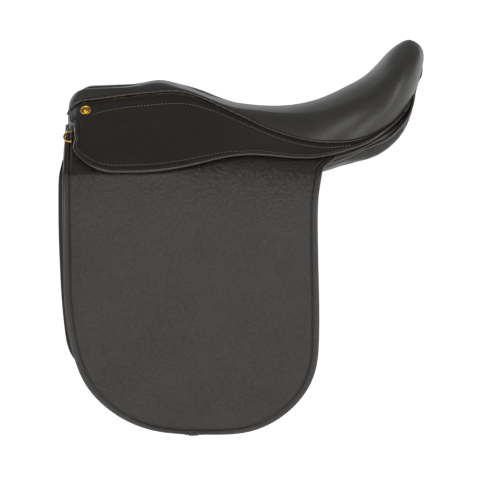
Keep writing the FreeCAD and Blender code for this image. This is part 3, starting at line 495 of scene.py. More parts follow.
def per_metre(size_mm):
    """The texture scale at which one cell is size_mm across."""
    return 1.0 / (size_mm * MM)


def grained_hide(name, dark, light, grain_mm, depth_mm, roughness, worn="#4a453f", crease=0.0,
                 border=0.0, seam=False, coat=0.05):
    """Dressed cowhide. Its grain is rounded cells of grain_mm with fine pores on them, its colour
    is a little uneven, and a border or a seam is pressed in where the piece stores one, its
    groove darkened by painted shade."""
    material, tree, bsdf = blank_material(name)
    place = add_node(tree, "TexCoord", out="Object")
    cells = add_node(tree, "TexVoronoi", {"feature": "SMOOTH_F1"}, Vector=place,
                     Scale=per_metre(grain_mm), Smoothness=0.7, Randomness=1.0)
    pores = add_node(tree, "TexNoise", Vector=place, Scale=per_metre(grain_mm / 2), Detail=3.0)
    cloud = add_node(tree, "TexNoise", Vector=place, Scale=per_metre(70), Detail=4.0)
    mottle = add_node(tree, "TexNoise", Vector=place, Scale=per_metre(9), Detail=5.0)
    uneven = add_node(tree, "Math", TIMES_PLUS, in0=mottle, in1=0.4,
                      in2=add_node(tree, "Math", TIMES, in0=cloud, in1=0.6))
    patches = add_node(tree, "MapRange", Value=uneven, From_Min=0.35, From_Max=0.68)
    hide_colour = add_node(tree, "Mix", COLOURS, 2, in0=patches, in6=linear(dark), in7=linear(light))
    raised = add_node(tree, "MapRange", Value=cells, From_Min=0.05, From_Max=0.75, To_Min=1.0,
                      To_Max=0.0)
    rubbed = add_node(tree, "Math", TIMES, in0=raised, in1=0.22)
    hide_colour = add_node(tree, "Mix", COLOURS, 2, in0=rubbed, in6=hide_colour, in7=linear(worn))
    height = add_node(tree, "Math", TIMES_PLUS, in0=pores, in1=0.5, in2=raised)
    if crease:
        stretch = add_node(tree, "Mapping", Vector=place, Rotation=(0.0, 0.7, 0.0),
                           Scale=(1.0, 1.0, 0.32))
        folds = add_node(tree, "TexNoise", Vector=stretch, Scale=per_metre(42), Detail=2.0,
                         Distortion=0.6)
        height = add_node(tree, "Math", TIMES_PLUS, in0=folds, in1=crease, in2=height)
    # A mark fades from its near to its far distance; it lifts the face and mixes in a colour. The
    # near-black of a pressed groove is painted shade; the lighter band at the very edge is wear.
    marks = []
    if border:
        edge = add_node(tree, "Attribute", {"attribute_name": "edge_mm"}, "Fac")
        off_line = add_node(tree, "Math", {"operation": "SUBTRACT"}, in0=edge, in1=border)
        line = add_node(tree, "Math", {"operation": "ABSOLUTE"}, in0=off_line)
        # The border's pressed line is painted near-black as shade in its groove.
        marks = [(line, 0.0, 2.4, -3.0, 0.65, "#050505"),
                 (edge, 0.84 * border, 1.12 * border, 1.4, 0.0, "#050505"),
                 (edge, 0.0, 3.0, 0.0, 0.35, worn)]
    if seam:
        off_seam = add_node(tree, "Attribute", {"attribute_name": "seam_mm"}, "Fac")
        line = add_node(tree, "Math", {"operation": "ABSOLUTE"}, in0=off_seam)
        # The seam's pressed groove is painted near-black as shade in it.
        marks.append((line, 0.0, 3.0, -3.0, 0.6, "#060505"))
    for distance, near, far, lift, share, colour in marks:
        mark = add_node(tree, "MapRange", Value=distance, From_Min=near, From_Max=far, To_Min=1.0,
                        To_Max=0.0)
        height = add_node(tree, "Math", TIMES_PLUS, in0=mark, in1=lift, in2=height)
        taken = add_node(tree, "Math", TIMES, in0=mark, in1=share)
        hide_colour = add_node(tree, "Mix", COLOURS, 2, in0=taken, in6=hide_colour, in7=linear(colour))
    feed(tree, bsdf, {
        "Base_Color": hide_colour, "Coat_Weight": coat, "Coat_Roughness": 0.3,
        "Specular_IOR_Level": 0.36, "IOR": 1.5,
        "Roughness": add_node(tree, "Math", TIMES_PLUS, in0=uneven, in1=0.14, in2=roughness - 0.07),
        "Normal": add_node(tree, "Bump", Height=height, Distance=depth_mm * MM, Strength=0.9),
    })
    return material


def seat_hide():
    """Fine black calf, stretched and hand-rubbed: nearly no grain and a broad soft sheen."""
    return grained_hide("seat_calf_smooth_dressed", "#262523", "#32312e", 2.4, 0.14, 0.42, coat=0.28)


def skirt_hide():
    """Smooth black bridle hide: a fine matt grain with a pressed line inside its rolled edge."""
    return grained_hide("skirt_bridle_hide", "#151412", "#1d1b19", 2.4, 0.16, 0.43, border=5.5,
                        seam=True)


def flap_hide():
    """Pebble-grained black hide: rounded cells about 3 mm across catch the light one by one."""
    return grained_hide("flap_pebbled_hide", "#1a1816", "#282522", 4.4, 0.7, 0.44, crease=0.9,
                        border=7.5)


def panel_hide():
    """Soft black panel hide, tight over the flock, with small wrinkles."""
    return grained_hide("panel_soft_hide", "#141312", "#1c1a18", 2.6, 0.22, 0.40, crease=1.2)


def strap_hide():
    """Oiled strap leather: dense, a little browner, waxy on its face."""
    return grained_hide("strap_oiled_hide", "#171310", "#231c17", 1.8, 0.10, 0.38, worn="#54402e")


def lining_hide():
    """Thin lining leather, matt and flat."""
    return grained_hide("lining_skiver", "#161514", "#1e1c1a", 1.8, 0.08, 0.55, coat=0.0)


def edge_hide():
    """Polished turned edge: leather rolled over a cord and burnished, so it shines in a line."""
    return grained_hide("edge_burnished_roll", "#161412", "#211e1b", 1.6, 0.05, 0.24, coat=0.5)


def welt_cord():
    """Plaited leather welt: black strands with a dark red thread laid in between them."""
    material, tree, bsdf = blank_material("welt_plaited_cord")
    strand = add_node(tree, "Attribute", {"attribute_name": "strand"}, "Fac")
    leather = add_node(tree, "MapRange", Value=strand, From_Min=0.22, From_Max=0.42)
    speck = add_node(tree, "TexNoise", Vector=add_node(tree, "TexCoord", out="Object"),
                     Scale=per_metre(1.2), Detail=2.0)
    feed(tree, bsdf, {
        "Base_Color": add_node(tree, "Mix", COLOURS, 2, in0=leather, in6=linear("#4a1518"),
                               in7=linear("#131110")),
        "Normal": add_node(tree, "Bump", Height=speck, Distance=0.1 * MM, Strength=0.6),
        "Coat_Weight": 0.3, "Coat_Roughness": 0.25, "Roughness": 0.34,
    })
    return material


def waxed_thread(name, colour, shade):
    """Waxed linen thread: fibres twisted tight, dull with a faint gloss."""
    material, tree, bsdf = blank_material(name)
    twist = add_node(tree, "TexNoise", Vector=add_node(tree, "TexCoord", out="Object"),
                     Scale=per_metre(0.9), Detail=2.0)
    feed(tree, bsdf, {
        "Base_Color": add_node(tree, "Mix", COLOURS, 2, in0=twist, in6=linear(shade), in7=colour),
        "Normal": add_node(tree, "Bump", Height=twist, Distance=0.1 * MM, Strength=0.8),
        "Roughness": 0.55, "Sheen_Weight": 0.15,
    })
    return material


def metal(name, colour, stain, roughness, scratch_mm):
    """A worked metal: fine rubbed scratches and a little uneven tarnish."""
    material, tree, bsdf = blank_material(name)
    place = add_node(tree, "TexCoord", out="Object")
    cloud = add_node(tree, "TexNoise", Vector=place, Scale=per_metre(4), Detail=4.0)
    scratch = add_node(tree, "TexNoise", Vector=place, Scale=per_metre(scratch_mm), Detail=2.0)
    tarnish = add_node(tree, "MapRange", Value=cloud, From_Min=0.4, From_Max=0.75)
    feed(tree, bsdf, {
        "Base_Color": add_node(tree, "Mix", COLOURS, 2, in0=tarnish, in6=linear(colour),
                               in7=linear(stain)),
        "Roughness": add_node(tree, "Math", TIMES_PLUS, in0=cloud, in1=0.12, in2=roughness),
        "Normal": add_node(tree, "Bump", Height=scratch, Distance=0.05 * MM, Strength=0.5),
        "Metallic": 1.0,
    })
    return material


def japanned_steel():
    """Steel under baked black varnish: smooth and glossy with small runs."""
    material, tree, bsdf = blank_material("steel_black_japanned")
    cloud = add_node(tree, "TexNoise", Vector=add_node(tree, "TexCoord", out="Object"),
                     Scale=per_metre(12), Detail=3.0)
    feed(tree, bsdf, {
        "Base_Color": add_node(tree, "Mix", COLOURS, 2, in0=cloud, in6=linear("#0d0d0e"),
                               in7=linear("#191919")),
        "Normal": add_node(tree, "Bump", Height=cloud, Distance=0.3 * MM, Strength=0.4),
        "Roughness": 0.3, "Coat_Weight": 0.5,
    })
    return material


def beech():
    """Laminated beech: pale pink-brown with thin plies along the part and small flecks."""
    material, tree, bsdf = blank_material("tree_laminated_beech")
    place = add_node(tree, "TexCoord", out="Object")
    plies = add_node(tree, "TexWave", {"bands_direction": "Z"}, "Fac", Vector=place,
                     Scale=per_metre(9), Distortion=2.5, Detail=3.0)
    speck = add_node(tree, "TexNoise", Vector=place, Scale=per_metre(1.5), Detail=3.0)
    fleck = add_node(tree, "MapRange", Value=speck, From_Min=0.6, From_Max=0.75, To_Max=0.6)
    wood = add_node(tree, "Mix", COLOURS, 2, in0=plies, in6=linear("#a97f50"), in7=linear("#c79e6d"))
    feed(tree, bsdf, {
        "Base_Color": add_node(tree, "Mix", COLOURS, 2, in0=fleck, in6=wood, in7=linear("#7d5934")),
        "Normal": add_node(tree, "Bump", Height=plies, Distance=0.3 * MM, Strength=0.5),
        "Roughness": 0.5,
    })
    return material


def canvas():
    """Undyed cotton webbing: a plain weave of 1.2 mm threads."""
    material, tree, bsdf = blank_material("web_cotton_canvas")
    place = add_node(tree, "TexCoord", out="Object")
    warp, weft = [add_node(tree, "TexWave", {"bands_direction": way}, "Fac", Vector=place,
                           Scale=per_metre(6)) for way in "XY"]
    weave = add_node(tree, "Math", TIMES, in0=warp, in1=weft)
    feed(tree, bsdf, {
        "Base_Color": add_node(tree, "Mix", COLOURS, 2, in0=weave, in6=linear("#8d7d60"),
                               in7=linear("#c9bb98")),
        "Normal": add_node(tree, "Bump", Height=weave, Distance=0.5 * MM, Strength=0.8),
        "Roughness": 0.9, "Sheen_Weight": 0.3,
    })
    return material


def latex():
    """Cream latex foam: matt, with small open pores, painted darker inside as shade."""
    material, tree, bsdf = blank_material("pad_latex_foam")
    pores = add_node(tree, "TexVoronoi", Vector=add_node(tree, "TexCoord", out="Object"),
                     Scale=per_metre(3))
    # Each pore is painted darker as shade inside the hole, by the same mask that sinks it.
    hole = add_node(tree, "MapRange", Value=pores, From_Max=0.35)
    feed(tree, bsdf, {
        "Base_Color": add_node(tree, "Mix", COLOURS, 2, in0=hole, in6=linear("#a08f63"),
                               in7=linear("#e0d4ad")),
        "Normal": add_node(tree, "Bump", Height=hole, Distance=0.6 * MM, Strength=0.7),
        "Roughness": 0.85,
    })
    return material


def studio_paper():
    """Matt pale paper sweep, faintly mottled."""
    material, tree, bsdf = blank_material("studio_pale_paper")
    fibre = add_node(tree, "TexNoise", Vector=add_node(tree, "TexCoord", out="Object"),
                     Scale=per_metre(400), Detail=2.0)
    feed(tree, bsdf, {
        "Base_Color": add_node(tree, "Mix", COLOURS, 2, in0=fibre, in6=linear("#f6f6f5"),
                               in7=linear("#fbfbfa")),
        "Emission_Color": linear("#ffffff"), "Emission_Strength": 0.7,
        "Roughness": 0.95, "Specular_IOR_Level": 0.1,
    })
    return material


def skirt_thread():
    """Tan waxed thread in the colour that the settings give."""
    return waxed_thread("thread_waxed_tan", list(bpy.context.scene.saddle.thread_colour), "#443629")


MAKERS = {
    "seat": seat_hide, "skirt": skirt_hide, "flap": flap_hide, "panel": panel_hide,
    "strap": strap_hide, "lining": lining_hide, "edge": edge_hide, "welt": welt_cord,
    "brown_thread": skirt_thread,
    "black_thread": lambda: waxed_thread("thread_waxed_black", linear("#4a443e"), "#1c1917"),
    "brass": lambda: metal("brass_polished", "#d9ae4e", "#9a7230", 0.2, 1.5),
    "steel": lambda: metal("steel_forged_bright", "#b4b4b2", "#7c7974", 0.32, 2.0),
    "japanned": japanned_steel, "beech": beech, "canvas": canvas, "latex": latex,
    "paper": studio_paper,
}
made = {}


def finish_of(key):
    """The material of that finish, made the first time it is asked for."""
    if key not in made:
        made[key] = MAKERS[key]()
    return made[key]


# ---------------------------------------------------------------- the skirt's bend line, and pieces baked in place
FOLD_HALF = 13.0


def fold_bend(sign):
    """Start and end of the skirt's bend: FOLD_HALF each side of the fold, down the skin."""
    middle = (FOLD_FRONT + FOLD_REAR) / 2
    along = unit(FOLD_REAR - FOLD_FRONT)
    welt_side = welt_line(np.array([middle[0]]))[0]
    down = middle - welt_side
    down = unit(down - along * np.dot(down, along))
    ends = [middle - FOLD_HALF * down, middle + FOLD_HALF * down]
    return [tuple(on_side(end, sign) * MM) for end in ends]


def with_flap(piece):
    """Bakes the piece's transform into its mesh."""
    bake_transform(piece)


def with_skirt(piece, side):
    """Works out the two ends of the skirt's bend, which are not used, and bakes the piece's transform into
    its mesh.
    """
    start, end = fold_bend(SIDES[side])
    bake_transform(piece)


# ---------------------------------------------------------------- seat
FACING_DEPTH = 26.0
NOTCH_ROLL = 6.0
SEAT_THICKNESS = 3.0


def notch_drop(place):
    """The seat's edge rolls down into the cut-back by a quarter circle."""
    behind = np.maximum(place[..., 0] - NOTCH_CENTRE, 0)
    reach = np.hypot(behind, place[..., 1])
    left = NOTCH_ROLL - np.clip(reach - NOTCH_HALF, 0, NOTCH_ROLL)
    return NOTCH_ROLL - np.sqrt(NOTCH_ROLL ** 2 - left ** 2)


def seat_half(rows, stations):
    """Half of the seat's top as a grid: from the cut-back or the centre line out to a crest,
    over a top that falls away as the square of the side distance, and from the crest down to
    the welt by a cubic that leaves the top level with it and comes to the welt from above."""
    k = stations
    welt = welt_line(k)
    inner_side = np.where(k < NOTCH_CENTRE, NOTCH_HALF, np.sqrt(np.maximum(
        NOTCH_HALF ** 2 - (k - NOTCH_CENTRE) ** 2, 0.0)))
    inner_side = np.where(k >= NOTCH_END, 0.0, inner_side)
    start_x = np.where(k <= STATION_TURN, k, STATION_TURN + 42 * ease(k, STATION_TURN, STATION_BACK))
    crest_share = line_through([
        (-250, 0.60), (-150, 0.66), (0, 0.68), (100, 0.71), (150, 0.74), (212, 0.79), (290, 0.84),
        (380, 0.865),
    ])(k)
    inner = np.stack([start_x, inner_side], axis=-1)
    outer = welt[:, :2]
    crest = inner + crest_share[:, None] * (outer - inner)
    top_share = np.linspace(0, 1, rows) ** 1.3
    plan = inner[None] + top_share[:, None, None] * (crest - inner)[None]

    def height(place):
        fall = fall_off(place[..., 0]) * place[..., 1] ** 2
        return crown(place[..., 0]) - fall - notch_drop(place)

    top = np.concatenate([plan, height(plan)[..., None]], axis=-1)
    step = 0.02 * (outer - inner)
    before = np.concatenate([crest - step, height(crest - step)[..., None]], axis=-1)
    leave = unit(top[-1] - before)
    chord = np.linalg.norm(welt - top[-1], axis=-1, keepdims=True)
    flat = unit(np.concatenate([outer - inner, np.zeros((len(k), 1))], axis=-1))
    back = ease(k, 60, 260)[:, None]
    arrive = unit(flat * (0.62 - 1.12 * back) + np.array([0, 0, -1.0]))
    t = np.linspace(0, 1, rows)[1:, None, None]
    leave, arrive = leave * chord * (1 + 0.25 * back), arrive * chord * (1.1 + 0.35 * back)
    wall = hermite(top[-1], welt, leave, arrive, t)
    return np.concatenate([top, wall])


def roll_front(points, stations):
    """Turns the front of a grid down: past FRONT a station runs round a quarter circle and
    then straight down the head's face."""
    past = np.clip(FRONT - stations, 0, None)
    turn = np.clip(past / FRONT_ROLL, 0, math.pi / 2)
    straight = np.clip(past - FRONT_ROLL * math.pi / 2, 0, None)
    moved = points.copy()
    moved[..., 0] = np.where(past > 0, FRONT - FRONT_ROLL * np.sin(turn), points[..., 0])
    moved[..., 2] -= FRONT_ROLL * (1 - np.cos(turn)) + straight
    narrower = 1 - 0.10 * np.clip(past / (FRONT_ROLL * math.pi / 2), 0, 1) ** 3
    moved[..., 1] = NOTCH_HALF + (moved[..., 1] - NOTCH_HALF) * narrower
    return moved


def seat_stations():
    """Where the seat's sections stand: close together at the roll and at the cut-back's end."""
    roll = np.linspace(FRONT - FRONT_ROLL * math.pi / 2 - FACING_DEPTH, FRONT, 46)[:-1]
    arms = np.linspace(FRONT, NOTCH_CENTRE, 16)[:-1]
    bend = NOTCH_CENTRE + NOTCH_HALF * np.sin(np.linspace(0, math.pi / 2, 22))
    middle = np.linspace(NOTCH_END, STATION_BACK, 120)[1:]
    return np.concatenate([roll, arms, bend, middle])


def apply_modifiers(piece):
    """Puts the modifiers' result in the piece's own mesh."""
    graph = bpy.context.evaluated_depsgraph_get()
    mesh = bpy.data.meshes.new_from_object(piece.evaluated_get(graph), depsgraph=graph)
    piece.modifiers.clear()
    piece.data = mesh


def build_seat():
    """The seat's leather: two mirrored halves joined along the middle."""
    stations = seat_stations()
    half = roll_front(seat_half(28, np.maximum(stations, FRONT)), stations)
    rows, columns = half.shape[:2]
    left = on_side(half, -1.0).reshape(-1, 3)
    right = on_side(half, 1.0).reshape(-1, 3)
    faces = np.concatenate([grid_faces(rows, columns), grid_faces(rows, columns, len(left), True)])
    seat = new_piece("seat", np.concatenate([left, right]), faces, finish_of("seat"))
    recalculate(seat, 0.01 * MM)
    if sum(p.normal.z * p.area for p in seat.data.polygons) < 0:
        seat.data.flip_normals()
    wall = seat.modifiers.new("leather", "SOLIDIFY")
    wall.thickness = SEAT_THICKNESS * MM
    wall.offset = -1.0
    apply_modifiers(seat)
    seat.data.shade_smooth()
    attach(seat, "saddle")
    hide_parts("seat_cover")
    return seat


def notch_path(half, lift):
    """Round the cut-back in plan, at the seat's own height: up one arm, round and back."""
    straight = np.linspace(-248.5, NOTCH_CENTRE, 40)[:-1]
    arm = np.full(len(straight), half)
    turn = np.linspace(math.pi / 2, -math.pi / 2, 60)
    x = np.concatenate([straight, NOTCH_CENTRE + half * np.cos(turn), straight[::-1]])
    y = np.concatenate([arm, half * np.sin(turn), -arm])
    z = crown(x) - fall_off(x) * y ** 2 + lift
    return stacked(x, y, z - front_drop(x))


def build_notch():
    """The cut-back's lining: a wall inside the arms that rolls over a cord at its top."""
    top = notch_path(NOTCH_HALF, -NOTCH_ROLL)
    inward = unit(stacked(-np.gradient(top[:, 1]), np.gradient(top[:, 0]), 0 * top[:, 0]))
    if np.sum(inward[:, 0] * (top[:, 0] - NOTCH_CENTRE)) > 0:
        inward = -inward
    depth = np.array([-0.5, -3.0, -8.0, -14.0, -20.0, -26.0])
    lean = np.array([0.0, 1.6, 2.0, 1.6, 1.0, 0.4])
    inward = inward[None] * np.ones((len(depth), 1, 1))
    grid = top[None] + depth[:, None, None] * np.array([0, 0, 1.0]) + lean[:, None, None] * inward
    lining = leather_sheet("notch_lining", grid, inward, 2.5, finish_of("lining"))
    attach(lining, "saddle")
    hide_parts("pommel_lining")
    path = evenly(notch_path(NOTCH_HALF + 0.6, -NOTCH_ROLL), 2.0)
    cord = tube("notch_edge_cord", path, 2.2, finish_of("edge"))
    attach(cord, "saddle")


def welt_path():
    """The welt's line round the whole seat, standing just proud of it."""
    stations = np.linspace(-248, STATION_BACK, 500)
    line = welt_line(stations)
    below = side_skin(stations, np.full(len(stations), 0.05))
    above = seat_half(20, stations)[-3]
    away = unit(np.cross(np.gradient(line, axis=0), below - above))
    away = away * np.sign(np.sum(away * np.array([0, 1.0, 0.6]), axis=-1, keepdims=True) + 1e-9)
    back = ease(stations, 300, 360)[:, None]
    out = unit(away * (1 - back) + np.array([1.0, 0, 0.1]) * back)
    path = bend_front(line + 1.3 * out)
    path[-1, 1] = 0.0
    left = on_side(path, -1.0)
    right = on_side(path, 1.0)[::-1][1:]
    return np.concatenate([left, right])


def build_welt():
    """The plaited welt: a cord whose radius swells in three strands that wind round it."""
    strands, lay, sides = 3, 11.0, 12

    def on_strand(turn, length):
        return np.abs(np.cos(0.5 * strands * (turn - 2 * math.pi * length / (strands * lay))))

    def plait(turn, length):
        return 0.92 + 0.16 * on_strand(turn, length)

    path = evenly(welt_path(), 1.3)
    radius = bpy.context.scene.saddle.welt_radius / MM
    welt = tube("seat_welt_plait", path, radius, finish_of("welt"), sides=sides, twist=plait)
    turn = np.linspace(0, 2 * math.pi, sides, endpoint=False)
    strand = on_strand(turn[None], run_along(path)[:, None])
    store(welt, "strand", np.concatenate([strand.ravel(), [0.5, 0.5]]))
    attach(welt, "saddle")
    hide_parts("seat_welt")


# ---------------------------------------------------------------- skirts
SKIRT_FRONT_X = -243.0
CORNER_X = -176.0
CORNER_SIDE = 138.0
SKIRT_THICKNESS = 4.0
DEE_BAY = 9.5
SKIRT_TOP = 0.035
seam_side = line_through([
    (-252, 122), (-213, 118), (-198, 112.5), (-166, 106), (-129, 102), (-86, 100.5), (-42, 106),
    (-14, 112.5), (15, 124), (44, 140), (72, 154), (100, 164), (128, 170), (150, 169.5), (165, 169),
])


def skirt_stations():
    """Close together round the lobe's front corner, then even to the back of the seat."""
    corner = CORNER_X - (CORNER_X - SKIRT_FRONT_X) * np.cos(np.linspace(0, math.pi / 2, 44))
    return np.concatenate([corner[:-1], np.linspace(CORNER_X, STATION_BACK, 190)])


def skirt_end(stations):
    """The share down the skin where the skirt ends: the hem, or the lobe's elliptic corner."""
    rise = np.sqrt(np.clip(1 - ((CORNER_X - stations) / (CORNER_X - SKIRT_FRONT_X)) ** 2, 0, 1))
    side = CORNER_SIDE + (hem_line(stations)[:, 1] - CORNER_SIDE) * rise
    corner = side_share(stations, np.minimum(side, hem_line(stations)[:, 1] - 0.01))
    return np.where(stations < CORNER_X, np.clip(corner, 0.1, 1.0), 1.0)


def skirt_grid(rows=46):
    """The skirt's outer face, from under the welt to the hem, hollowed a little by the dee."""
    stations = skirt_stations()
    end = skirt_end(stations)
    share = SKIRT_TOP + np.linspace(0, 1, rows)[:, None] * (end[None] - SKIRT_TOP)
    points = bend_front(side_skin(np.broadcast_to(stations, share.shape), share))
    beside_dee = ease(points[..., 1], 116, 133) * (1 - ease(points[..., 1], 158, 180))
    points[..., 0] += DEE_BAY * beside_dee * (1 - ease(points[..., 0], -243, -212))
    return points


def build_skirt(side):
    """A skirt with the bead round its edge, its hem's stitches and its seam's stitches."""
    sign = SIDES[side]
    points = skirt_grid()
    outward = across_section(np.gradient(points, axis=0))
    seam = (points[..., 1] - seam_side(points[..., 0])) * 1.2
    seam = np.where((points[..., 0] < -208) | (points[..., 0] > 160), FAR_OFF, seam)
    skirt = leather_sheet(
        "skirt_" + side + "_leather", on_side(points, sign), on_side(outward, sign), SKIRT_THICKNESS,
        finish_of("skirt"), {"seam_mm": seam},
    )
    with_skirt(skirt, side)
    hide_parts("skirt_band_" + side, "skirt_" + side)

    edge = np.concatenate([points[:, 0], points[-1, 1:]])
    edge_out = np.concatenate([outward[:, 0], outward[-1, 1:]])
    bead = tube("skirt_" + side + "_edge", evenly(on_side(edge - 1.6 * edge_out, sign), 2.0), 2.4,
                finish_of("edge"), sides=12)
    with_skirt(bead, side)

    inset = 5.5
    rows = points.shape[0]
    lengths = np.linalg.norm(np.diff(points, axis=0), axis=-1)
    row_step = lengths[-1].mean()
    back = max(int(round(inset / row_step)), 1)
    column = 4
    last = rows - 1 - back
    path = np.concatenate([points[3:last, column], points[last, column:]])
    normal = np.concatenate([outward[3:last, column], outward[last, column:]])
    row = stitch_row("skirt_" + side + "_hem_stitches", on_side(path, sign), on_side(normal, sign),
                     finish_of("brown_thread"), bpy.context.scene.saddle.skirt_stitch / MM, 0.9)
    with_skirt(row, side)

    x = np.linspace(-211, 158, 160)
    path, normal = skin_and_normal(x, side_share(x, seam_side(x)))
    stitches = stitch_row("skirt_" + side + "_seam_stitches", on_side(path + 0.1 * normal, sign),
                          on_side(normal, sign), finish_of("brown_thread"), 5.0, 1.2)
    with_skirt(stitches, side)


# ---------------------------------------------------------------- saddle nails
NAIL_PLACE = (-221.0, 109.0)


def build_nail(side):
    """A brass nail with a domed head inside a rolled ring: its profile turned about its axis."""
    sign = SIDES[side]
    x = np.array([NAIL_PLACE[0]])
    centre, normal = skin_and_normal(x, side_share(x, np.array([NAIL_PLACE[1]])), 0.03)
    centre = bend_front(centre)[0]
    axis = unit(normal[0] + np.array([-0.15, 0.75, 0.0]))
    dome = np.linspace(0.6, 4.6, 9)
    ring = np.radians(np.linspace(250, -60, 16))
    reach = np.concatenate([[0.02], dome, 6.3 + 1.5 * np.cos(ring), [7.2, 6.2, 0.02]])
    lift = np.concatenate([[2.9], 2.9 - 1.7 * (dome / 4.6) ** 2, 1.1 + 1.5 * np.sin(ring),
                           [-1.0, -4.0, -4.5]])
    turn = np.linspace(0, 2 * math.pi, 48, endpoint=False)
    first = unit(np.cross(axis, np.array([0.0, 0.0, 1.0])))
    second = np.cross(axis, first)
    round_axis = np.cos(turn)[:, None] * first + np.sin(turn)[:, None] * second
    points = centre + 0.6 * axis + lift[:, None, None] * axis + reach[:, None, None] * round_axis
    faces = ring_faces(len(reach), len(turn))[2]
    nail = new_piece("saddle_nail_" + side + "_head", on_side(points, sign).reshape(-1, 3), faces,
                     finish_of("brass"))
    recalculate(nail, 0.05 * MM)
    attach(nail, "saddle")
    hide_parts("saddle_nail_" + side)


# ---------------------------------------------------------------- flaps
HINGE_SIDE = 207.0
HINGE_HEIGHT = 13.6
FLAP_THICKNESS = 4.0
# How deep under the skirts' skin the flap's outer face lies, in mm.
depth_at_welt = line_through([
    (-250, 9.5), (-228, 10.5), (-205, 14), (-182, 23), (-80, 23), (-45, 16), (-20, 10), (20, 7),
    (140, 7),
])
depth_at_fold = line_through([
    (-250, 9.5), (-228, 10), (-205, 11.5), (-182, 15.5), (-80, 15.5), (-45, 11.5), (-20, 8),
    (20, 6.5), (140, 6.5),
])
depth_at_hem = line_through([(-250, 7), (-215, 7), (-190, 5.8), (0, 5.5), (140, 5.5)])
hang_side = line_through([
    (-357, 213), (-320, 216.3), (-280, 219), (-240, 221.2), (-200, 222.5), (-130, 222.5), (-70, 219.5),
    (-20, 213.5), (13.6, 207),
])
FLAP_FRONT_EDGE = [
    (-245.5, 13.6), (-244.8, -40), (-244, -110), (-243, -165), (-238.5, -205), (-229, -250), (-214.5, -284),
    (-193, -310), (-161, -333.5), (-117, -350), (-72, -355.8),
]
FLAP_REAR_EDGE = [
    (114, 13.6), (109.8, -10), (107.8, -50), (108.5, -105), (110, -165), (110, -222), (107.5, -253),
    (99.5, -280), (83, -306), (55, -331.5), (18, -349), (-25, -355), (-62, -355.8),
]
flap_front = by_length(FLAP_FRONT_EDGE)
flap_rear = by_length(FLAP_REAR_EDGE)


def flap_top_grid(across):
    """The flap's fixed part: the skirt's skin moved in by the depth of the layer, then a
    rolled bend from under the hem to the hinge line."""
    knots = np.array([0.0, 0.3, 0.55, 0.8, 1.0, 1.25, 1.5, 1.9])
    rows = np.linspace(0.0, 1.5, 36)
    front = -245.5 - 5.0 * np.clip(1 - rows, 0, 1)
    rear = 114 + 20.0 * ease(1.5 - rows, 0, 0.62)
    x = front[:, None] + across[None] * (rear - front)[:, None]
    flat_x = x.ravel()
    skins = []
    for share in knots[:5]:
        point, normal = skin_and_normal(flat_x, np.full(len(flat_x), max(share, 0.03)))
        low, high = depth_at_welt(flat_x), depth_at_fold(flat_x)
        depth = low + (high - low) * min(share / 0.55, 1.0)
        if share > 0.55:
            depth = high + (depth_at_hem(flat_x) - high) * (share - 0.55) / 0.45
        skins.append(point - depth[:, None] * normal)
    last = skins[-1]
    hinge = stacked(flat_x, HINGE_SIDE, HINGE_HEIGHT)
    reach = np.linalg.norm((hinge - last)[:, 1:], axis=1)
    bulge = (0.10 * np.clip(reach - 6, 0, None))[:, None]
    roll = (last + hinge) / 2 + bulge * np.array([0, 1.0, 1.0])
    under = stacked(flat_x, hang_side(np.array(-9.0)), -9.0)
    stack = np.stack(skins + [roll, hinge, under])
    found = across_knots(knots, stack, rows)
    picked = found.reshape(len(rows), len(rows), len(across), 3)
    return bend_front(picked[np.arange(len(rows)), np.arange(len(rows))])


def flap_hang_grid(across, rows=130):
    """The hanging part: rows of straight lines from the front outline to the rear one, laid
    on a gentle upright curve that bellies out by a few millimetres."""
    share = close_spaced(0, 1, rows)
    share = 0.5 * (share + np.linspace(0, 1, rows))
    first, last = flap_front(share), flap_rear(share)
    flat = first[:, None] + across[None, :, None] * (last - first)[:, None]
    x, z = flat[..., 0], flat[..., 1]
    wave = 0.9 * np.sin(x / 61.0 + z / 83.0) * ease(-z, 10, 120)
    wave = wave + 0.5 * np.sin(x / 33.0 - z / 47.0) * ease(-z, 40, 160)
    edge_pull = -2.0 * ease(np.abs(across - 0.5), 0.42, 0.5)[None] * ease(-z, 30, 140)
    return stacked(x, hang_side(z) + wave + edge_pull, z)


def flap_points():
    """Both parts in one grid. Near the hinge each point is drawn, again and again, towards
    the middle of its neighbours up and down the leather, which widens the bend."""
    across = close_spaced(0, 1, 150)
    across = 0.6 * across + 0.4 * np.linspace(0, 1, 150)
    top = flap_top_grid(across)
    hang = flap_hang_grid(across)
    points = np.concatenate([top, hang[1:]])
    near = ease(points[1:-1, :, 2:], -75, -20) * (1 - ease(points[1:-1, :, 2:], 42, 70))
    for _ in range(70):
        middle = (points[2:] + points[:-2]) / 2
        points[1:-1, :, 1:] += 0.5 * near * (middle - points[1:-1])[..., 1:]
    return points


def offset_outline(points, normals, inset):
    """The line that runs inset mm inside a grid's two sides and its last row."""
    rows, columns = points.shape[:2]
    loop = np.concatenate([
        np.arange(rows) * columns, (rows - 1) * columns + np.arange(1, columns),
        np.arange(rows - 1)[::-1] * columns + columns - 1,
    ])
    line = points.reshape(-1, 3)[loop]
    normal = normals.reshape(-1, 3)[loop]
    along = unit(np.gradient(line, axis=0))
    inward = unit(np.cross(normal, along))
    centre = points[rows // 2, columns // 2]
    if np.sum(inward * (centre - line)) < 0:
        inward = -inward
    return line + inset * inward, normal


